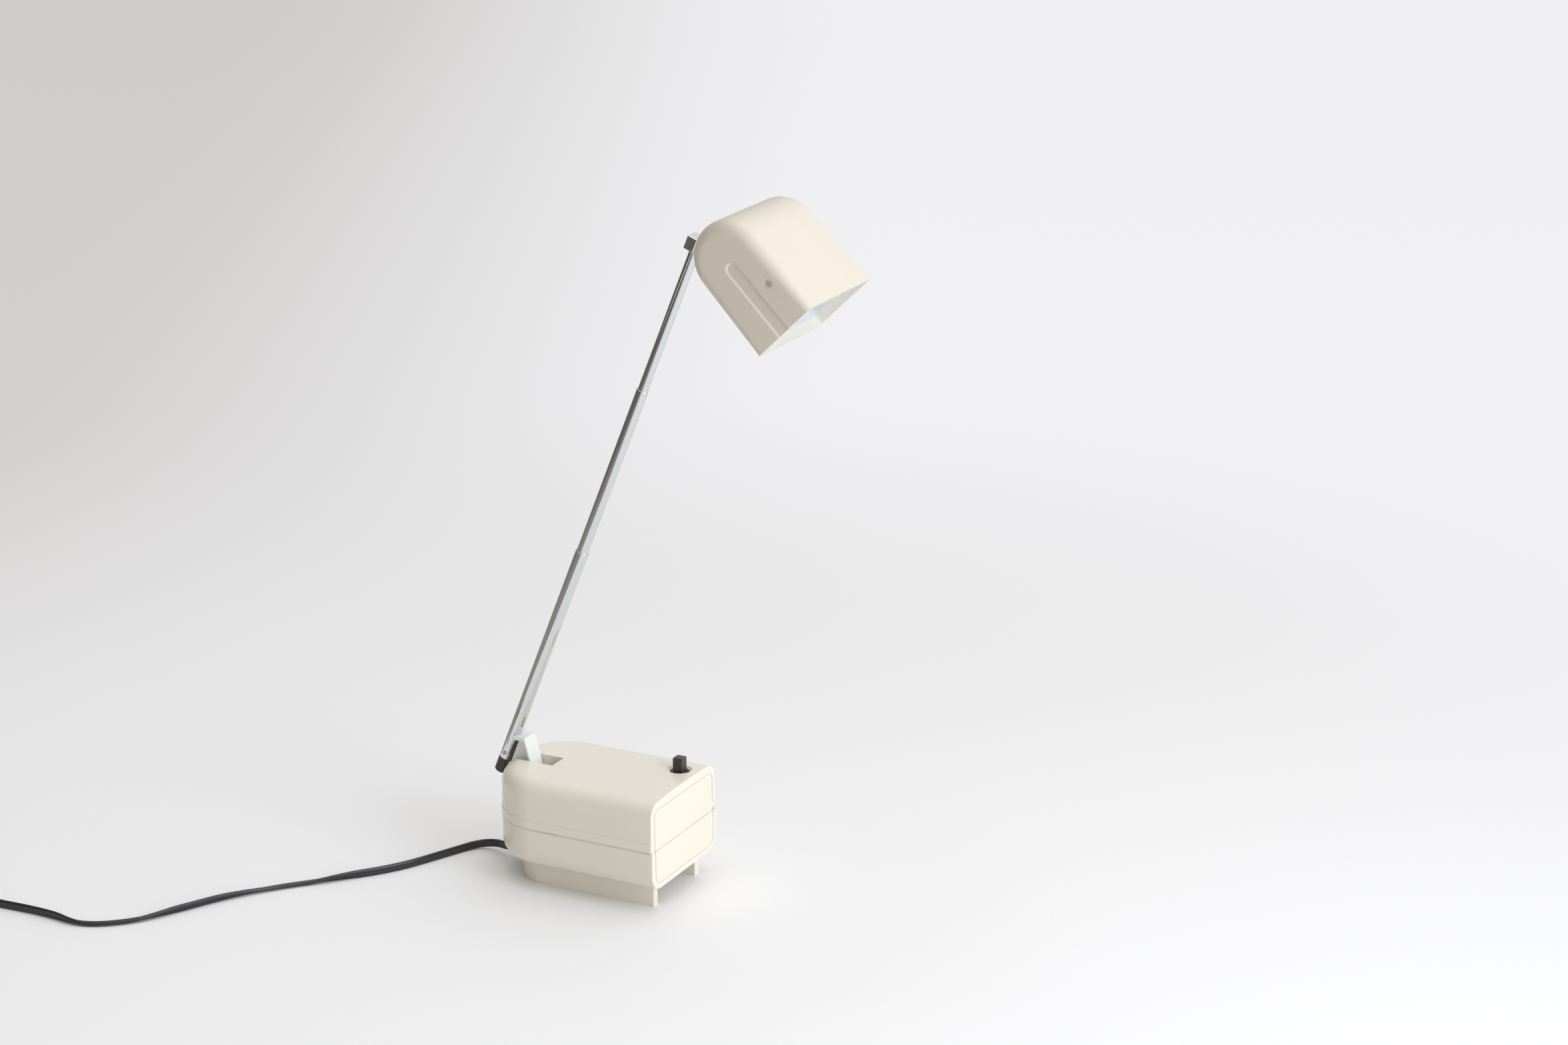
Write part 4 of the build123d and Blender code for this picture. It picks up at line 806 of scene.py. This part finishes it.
    def stand_card(self) -> None:
        """Stand a dark card round the front left, as dark as the room that the chrome showed there.

        A point is middle + radius * (cos u, sin u) at height v, for headings u along the arc and
        two heights v.
        """
        u = np.radians(np.linspace(*self.card_arc, self.card_points))
        ring = np.stack([self.card_middle[0] + self.card_radius * np.cos(u),
                         self.card_middle[1] + self.card_radius * np.sin(u), np.zeros(len(u))], axis=1)
        points = np.concatenate([ring, ring + np.array([0.0, 0.0, self.card_height])]) * MM
        step = np.arange(len(u) - 1)
        quads = np.stack([step, step + 1, step + 1 + len(u), step + len(u)], axis=1)
        card = surface_object("dark_card", points, [quads], crease=60.0)
        made, tree, out = blank_material("dark_studio_card")
        place = add_node(tree, "ShaderNodeTexCoord").outputs["Object"]
        parts = add_node(tree, "ShaderNodeSeparateXYZ", None, {0: place})
        share = fade(tree, parts.outputs["Z"], (self.card_fade[0] * MM, self.card_fade[1] * MM))
        tone = add_node(tree, "ShaderNodeMix",
                        {"data_type": "RGBA", 6: linear(self.card_low), 7: linear(self.card_high)}, {0: share})
        glow = add_node(tree, "ShaderNodeEmission", None, {"Color": tone.outputs[2]})
        tree.links.new(glow.outputs[0], out.inputs[0])
        card.data.materials.append(made)
        card.visible_camera = False
        card.visible_diffuse = False
        card.visible_shadow = False
        card.visible_transmission = False


@dataclass
class MainsCord:
    """Flat two-core flex from the plinth to a put-away coil and a two-pin plug.

    Attributes:
        exit: point where the flex leaves its bush.
        route: corner points of the run, as in the CAD.
        coil_start: point where the run meets the coil.
        coil_centre: middle of the coil.
        coil_radius: radius of the first turn.
        coil_step: loss of radius in half a turn.
        coil_layer: height of the upper layer over the lower.
        half_turns: half turns in each layer.
        turn_points: control points in half a turn.
        plug_entry: point where the flex goes into the plug.
        width: flex's width.
        thickness: flex's thickness.
        waist: share of the thickness that is left between the two cores.
        length: length of the flex in metres; not used.
        twist_at: places along the flex where its twist is known.
        twist: angle in degrees from standing on edge at those places.
        tail_step: straight bit between the coil and the plug.
        section_points: points round the section.
        groove: width of the waist as a share of the half width.
        fullness: powers that fill the section out along its width and across it.
        floor_height: height of the line below which the flex lies on the floor.
        floor_gap: gap that is left under it.
    """

    exit: tuple[float, float, float] = (-3.9, -4.0, 8.0)
    route: list[tuple[float, float, float]] = field(default_factory=lambda: [
        (-17.5, -4.0, 8.0), (-31.0, 4.6, 4.6), (-43.0, 1.5, 2.6), (-52.0, -19.0, 2.4), (-65.0, -48.5, 2.4),
        (-84.5, -72.5, 2.4), (-114.0, -102.0, 2.4), (-132.5, -129.0, 2.4), (-149.0, -163.0, 2.4),
        (-164.0, -184.5, 2.4), (-184.5, -198.5, 2.4), (-211.5, -195.5, 2.4), (-246.0, -197.5, 2.4)])
    coil_start: tuple[float, float, float] = (-274.4, -197.5, 2.4)
    coil_centre: tuple[float, float, float] = (-278.0, -234.0, 2.4)
    coil_radius: float = 36.5
    coil_step: float = 2.1
    coil_layer: float = 5.2
    half_turns: int = 8
    turn_points: int = 8
    plug_entry: tuple[float, float, float] = (-258.0, -270.5, 7.6)
    width: float = 4.8
    thickness: float = 2.4
    waist: float = 0.72
    length: float = 1.85
    twist_at: tuple[float, ...] = (0.0, 118.0, 150.0, 172.0, 205.0, 232.0, 258.0, 285.0, 305.0, 330.0)
    twist: tuple[float, ...] = (0.0, 0.0, 78.0, 75.0, 25.0, 20.0, 75.0, 80.0, 15.0, 0.0)
    tail_step: float = 4.0
    section_points: int = 32
    groove: float = 0.22
    fullness: tuple[float, float] = (0.75, 0.6)
    floor_height: float = 2.6
    floor_gap: float = 0.05

    def turn_nodes(self) -> np.ndarray:
        """Work out where the half turns meet, on the coil's line through its centre.

        The radius falls by a step each half turn on the floor and grows again on top of it.

        Returns:
            One point for each end of a half turn, in millimetres.
        """
        down = self.coil_radius - self.coil_step * np.arange(self.half_turns + 2)
        back = down[-2] + self.coil_step * np.arange(1, self.half_turns + 1)
        radii = np.concatenate([down, back])
        number = np.arange(len(radii))
        x, y, z = self.coil_centre
        side = np.where(number % 2 == 0, 1.0, -1.0)
        rise = np.where(number <= self.half_turns, 0.0, self.coil_layer)
        return np.stack([np.full(len(radii), x), y + side * radii, z + rise], axis=1)

    def control_points(self) -> np.ndarray:
        """Put the route, the coil's turns and the tail in one row of points.

        A half turn from a to b is c + cos u * (a - c) + sin u * h, with c midway between them,
        h as long as a - c and pointing to -X on even half turns and to +X on odd ones.

        Returns:
            Control points in metres.
        """
        nodes = self.turn_nodes()
        start, end = nodes[:-1, None], nodes[1:, None]
        u = np.linspace(0.0, np.pi, self.turn_points, endpoint=False)[None, :, None]
        middle = (start + end) / 2.0
        half = np.linalg.norm((start - end)[..., :2], axis=-1, keepdims=True) / 2.0
        sign = np.where(np.arange(len(nodes) - 1) % 2 == 0, -1.0, 1.0)[:, None, None]
        bulge = sign * half * np.array([1.0, 0.0, 0.0])
        turns = (middle + np.cos(u) * (start - middle) + np.sin(u) * bulge).reshape(-1, 3)
        last = nodes[-1] + np.array([self.tail_step, 0.0, 0.0])
        rows = [np.array([self.exit]), np.array(self.route), np.array([self.coil_start]), turns[1:],
                nodes[-1:], last[None], np.array([self.plug_entry])]
        return np.concatenate(rows) * MM

    def spline_points(self) -> np.ndarray:
        """Lay a NURBS spline along the control points and read its points back.

        Returns:
            Points along the spline in metres.
        """
        controls = self.control_points()
        curve = bpy.data.curves.new("flex_line", "CURVE")
        curve.dimensions = "3D"
        curve.resolution_u = 8
        spline = curve.splines.new("NURBS")
        spline.points.add(len(controls) - 1)
        spline.points.foreach_set("co", np.column_stack([controls, np.ones(len(controls))]).ravel())
        spline.order_u = 3
        spline.use_endpoint_u = True
        line = bpy.data.objects.new("flex_line", curve)
        mesh = bpy.data.meshes.new_from_object(line)
        points = np.zeros(len(mesh.vertices) * 3, np.float32)
        mesh.vertices.foreach_get("co", points)
        bpy.data.objects.remove(line)
        bpy.data.meshes.remove(mesh)
        return points.reshape(-1, 3).astype(float)

    def section(self) -> np.ndarray:
        """Draw the flex's section: two round cores joined by a thinner waist.

        The half thickness at a share w of the half width is a round end times
        1 - (1 - waist) * exp(-(w / groove)^2), which leaves a groove on both faces.

        Returns:
            Pairs of height along the width and depth across it, in metres.
        """
        u = np.linspace(0.0, 2.0 * np.pi, self.section_points, endpoint=False)
        share = np.sign(np.cos(u)) * np.abs(np.cos(u)) ** self.fullness[0]
        thinned = 1.0 - (1.0 - self.waist) * np.exp(-(share / self.groove) ** 2)
        depth = np.sign(np.sin(u)) * np.abs(np.sin(u)) ** self.fullness[1] * thinned
        return np.stack([share * self.width / 2.0, depth * self.thickness / 2.0], axis=1) * MM

    def carried_section(self, line: np.ndarray) -> np.ndarray:
        """Carry the section along the spline, twisted as the photograph shows.

        Ring i is line[i] + a * wide[i] + b * deep[i] for each section pair (a, b). Wide and deep are the
        upright and the level direction square to the line, turned about it by the twist.

        Args:
            line: points along the spline in metres.

        Returns:
            One ring of points for each point of the line.
        """
        ahead = np.gradient(line, axis=0)
        ahead /= np.linalg.norm(ahead, axis=1, keepdims=True)
        level = np.cross(np.array([0.0, 0.0, 1.0]), ahead)
        level /= np.linalg.norm(level, axis=1, keepdims=True)
        upright = np.cross(ahead, level)
        run = np.concatenate([[0.0], np.cumsum(np.linalg.norm(np.diff(line, axis=0), axis=1))])
        angle = np.radians(np.interp(run / MM, self.twist_at, self.twist))[:, None]
        wide = np.cos(angle) * upright + np.sin(angle) * level
        deep = np.cos(angle) * level - np.sin(angle) * upright
        shape = self.section()
        return line[:, None] + shape[None, :, :1] * wide[:, None] + shape[None, :, 1:] * deep[:, None]

    def build(self) -> None:
        line = self.spline_points()
        rings = self.carried_section(line)
        # A flat stretch settles onto the floor, where one on edge already stands.
        lying = line[:, 2] < self.floor_height * MM
        drop = np.where(lying, rings[..., 2].min(axis=1) - self.floor_gap * MM, 0.0)
        rings[..., 2] -= drop[:, None]
        line[:, 2] -= drop
        rows, columns = rings.shape[:2]
        points = np.concatenate([rings.reshape(-1, 3), line[:1], line[-1:]])
        ring = np.arange(columns)
        after = (ring + 1) % columns
        tail = (rows - 1) * columns
        near_end = np.stack([np.full(columns, rows * columns), after, ring], axis=1)
        far_end = np.stack([np.full(columns, rows * columns + 1), tail + ring, tail + after], axis=1)
        patches = [ring_faces(rows, columns, False), near_end, far_end]
        flex = surface_object("mains_flex", points, patches, crease=60.0)
        dress(flex, BLACK_PVC)
        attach(flex, "base")
        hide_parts("cord", "cord_coil")
        LOG.info("%s", flex.name)


@dataclass
class TelescopicArm:
    """Three chromed tubes, each rolled in at its rim, with the bracket and the end plug.

    Attributes:
        tubes: node name, body, outer radius, bore at the rim, foot and rim along the arm.
        wall: tube wall.
        neck: length of the rolled-in end.
        rim_rounding: rounding of the rim's edge.
        columns: points round a tube.
        corner_points: points on the rim's rounding.
        crease: angle past which an edge of a tube stays sharp.
    """

    tubes: list[tuple[str, str, float, float, float, float]] = field(default_factory=lambda: [
        ("lower_tube", "arm", 4.0, 3.55, -2.9, 143.4),
        ("middle_tube", "middle", 3.5, 3.05, 124.6, 252.4),
        ("upper_tube", "upper", 3.0, 2.7, 233.6, 342.2)])
    wall: float = 0.3
    neck: float = 4.4
    rim_rounding: float = 0.25
    columns: int = 96
    corner_points: int = 6
    crease: float = 40.0

    def tube_profile(self, radius: float, bore_at_rim: float, foot: float, rim: float) -> np.ndarray:
        """Draw a tube's section from its foot up the outside and back down the bore.

        The rim is a quarter circle of rim_rounding from the outside to the end face.

        Args:
            radius: outer radius in millimetres.
            bore_at_rim: inner radius of the rolled-in end.
            foot: start along the arm.
            rim: end along the arm.

        Returns:
            Radius and height pairs in metres.
        """
        bore = radius - self.wall
        turn = np.linspace(0.0, np.pi / 2.0, self.corner_points)
        corner = np.stack([radius - self.rim_rounding * (1.0 - np.cos(turn)),
                           rim - self.rim_rounding * (1.0 - np.sin(turn))], axis=1)
        inner = np.array([[bore_at_rim, rim], [bore_at_rim, rim - self.neck],
                          [bore, rim - self.neck - self.wall], [bore, foot]])
        return np.concatenate([np.array([[radius, foot]]), corner, inner]) * MM

    def build(self, nodes: dict[str, Object]) -> None:
        """Turn the tubes and dress the rest of the arm's nodes.

        Args:
            nodes: CAD nodes by name.
        """
        for node, body, radius, bore, foot, rim in self.tubes:
            profile = self.tube_profile(radius, bore, foot, rim)
            points, faces = turned_surface(profile, ARM_FOOT, ALONG, OUT, self.columns)
            tube = surface_object("chrome_" + node, points, [faces], self.crease)
            dress(tube, CHROME)
            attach(tube, body)
            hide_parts(node)
            LOG.info("%s", tube.name)
        for node, finish in (("bracket", WHITE_ABS), ("end_cap", BLACK_ABS), ("cap_rivet", STEEL),
                             ("middle_sleeve", BRASS), ("upper_sleeve", BRASS), ("head_arm", CHROME)):
            dress(nodes[node], finish)


@dataclass
class Case:
    """Two moulded shells with the transformer, the cord entry and the fold pivot inside.

    Attributes:
        shells: shell nodes that get a joined, smooth skin.
        crease: angle past which an edge of a shell stays sharp.
        inside: finish of each node that the shells hold.
    """

    shells: tuple[str, ...] = ("upper_shell", "lower_shell")
    crease: float = 24.0
    inside: dict[str, Finish] = field(default_factory=lambda: {
        "case_screws": STEEL, "transformer_core": CORE_STEEL, "transformer_bobbin": BLACK_ABS,
        "transformer_winding": WIRE, "core_clamp": STEEL, "clamp_screws": STEEL, "terminal_block": WHITE_ABS,
        "cord_grip": PHENOLIC, "grip_screws": STEEL, "cord_bush": BLACK_PVC, "switch_body": PHENOLIC,
        "switch_screws": STEEL, "switch_tabs": BRASS, "lever_axle": STEEL, "switch_lever": BLACK_ABS,
        "pivot_pin": STEEL, "pivot_washers": STEEL, "coil_tie": BLACK_PVC, "plug_body": BLACK_PVC,
        "plug_pins": STEEL})

    def build(self, nodes: dict[str, Object]) -> None:
        """Skin the shells and dress what they hold.

        Args:
            nodes: CAD nodes by name.
        """
        for shell in self.shells:
            skin = merged_copy(nodes[shell], shell + "_skin", self.crease)
            dress(skin, CREAM_ABS)
            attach(skin, "base")
            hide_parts(shell)
            LOG.info("%s", skin.name)
        for node, finish in self.inside.items():
            dress(nodes[node], finish)


@dataclass
class LampHead:
    """Tilting shade with its reflector, lamp holder and bulb.

    Attributes:
        crease: angle past which an edge of the shade stays sharp.
        inner_half: half the shade's width inside its walls.
        margin: how far past that a face's middle still counts as inside.
        fittings: finish of each node in the shade.
    """

    crease: float = 24.0
    inner_half: float = 36.0
    margin: float = 0.1
    fittings: dict[str, Finish] = field(default_factory=lambda: {
        "hinge_pin": STEEL, "hinge_washers": STEEL, "reflector": ENAMEL, "lamp_holder": PHENOLIC,
        "holder_screw": STEEL, "lamp_contact": BRASS, "bulb_cap": BRASS, "bulb_glass": GLASS})

    def build(self, nodes: dict[str, Object]) -> None:
        """Skin the shade and dress its fittings.

        Args:
            nodes: CAD nodes by name.
        """
        skin = merged_copy(nodes["shade"], "shade_skin", self.crease)
        dress(skin, CREAM_ABS_SATIN)
        # The inner faces take a paler copy of the plastic: painted light inside the shade.
        skin.data.materials.append(CREAM_ABS_PAINTED_LIGHT_INSIDE.material())
        skin.data.polygons.foreach_set("material_index", self.inner_faces(skin))
        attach(skin, "head")
        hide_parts("shade")
        LOG.info("%s", skin.name)
        for node, finish in self.fittings.items():
            dress(nodes[node], finish)

    def inner_faces(self, skin: Object) -> np.ndarray:
        """Tell the shade's inner faces from its outer ones.

        A face is an inner one if it looks at the middle of the shade and lies between its side walls.

        Args:
            skin: shade's skin.

        Returns:
            One for each inner face and zero for each outer one.
        """
        faces = skin.data.polygons
        middles, normals = np.zeros(3 * len(faces), np.float32), np.zeros(3 * len(faces), np.float32)
        faces.foreach_get("center", middles)
        faces.foreach_get("normal", normals)
        middles, normals = middles.reshape(-1, 3), normals.reshape(-1, 3)
        middle = (middles.min(axis=0) + middles.max(axis=0)) / 2.0
        looks_in = ((middle - middles) * normals).sum(axis=1) > 0.0
        between = np.abs(middles[:, 1]) < (self.inner_half + self.margin) * MM
        return (looks_in & between).astype(np.int32)


def main() -> None:
    """Build the lamp's looks over its CAD frame."""
    logging.basicConfig(level=logging.INFO)
    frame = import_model()
    nodes = frame["nodes"]
    PhotoCamera().build()
    MainsCord().build()
    Studio().build()
    Case().build(nodes)
    TelescopicArm().build(nodes)
    LampHead().build(nodes)


if __name__ == "__main__":
    main()
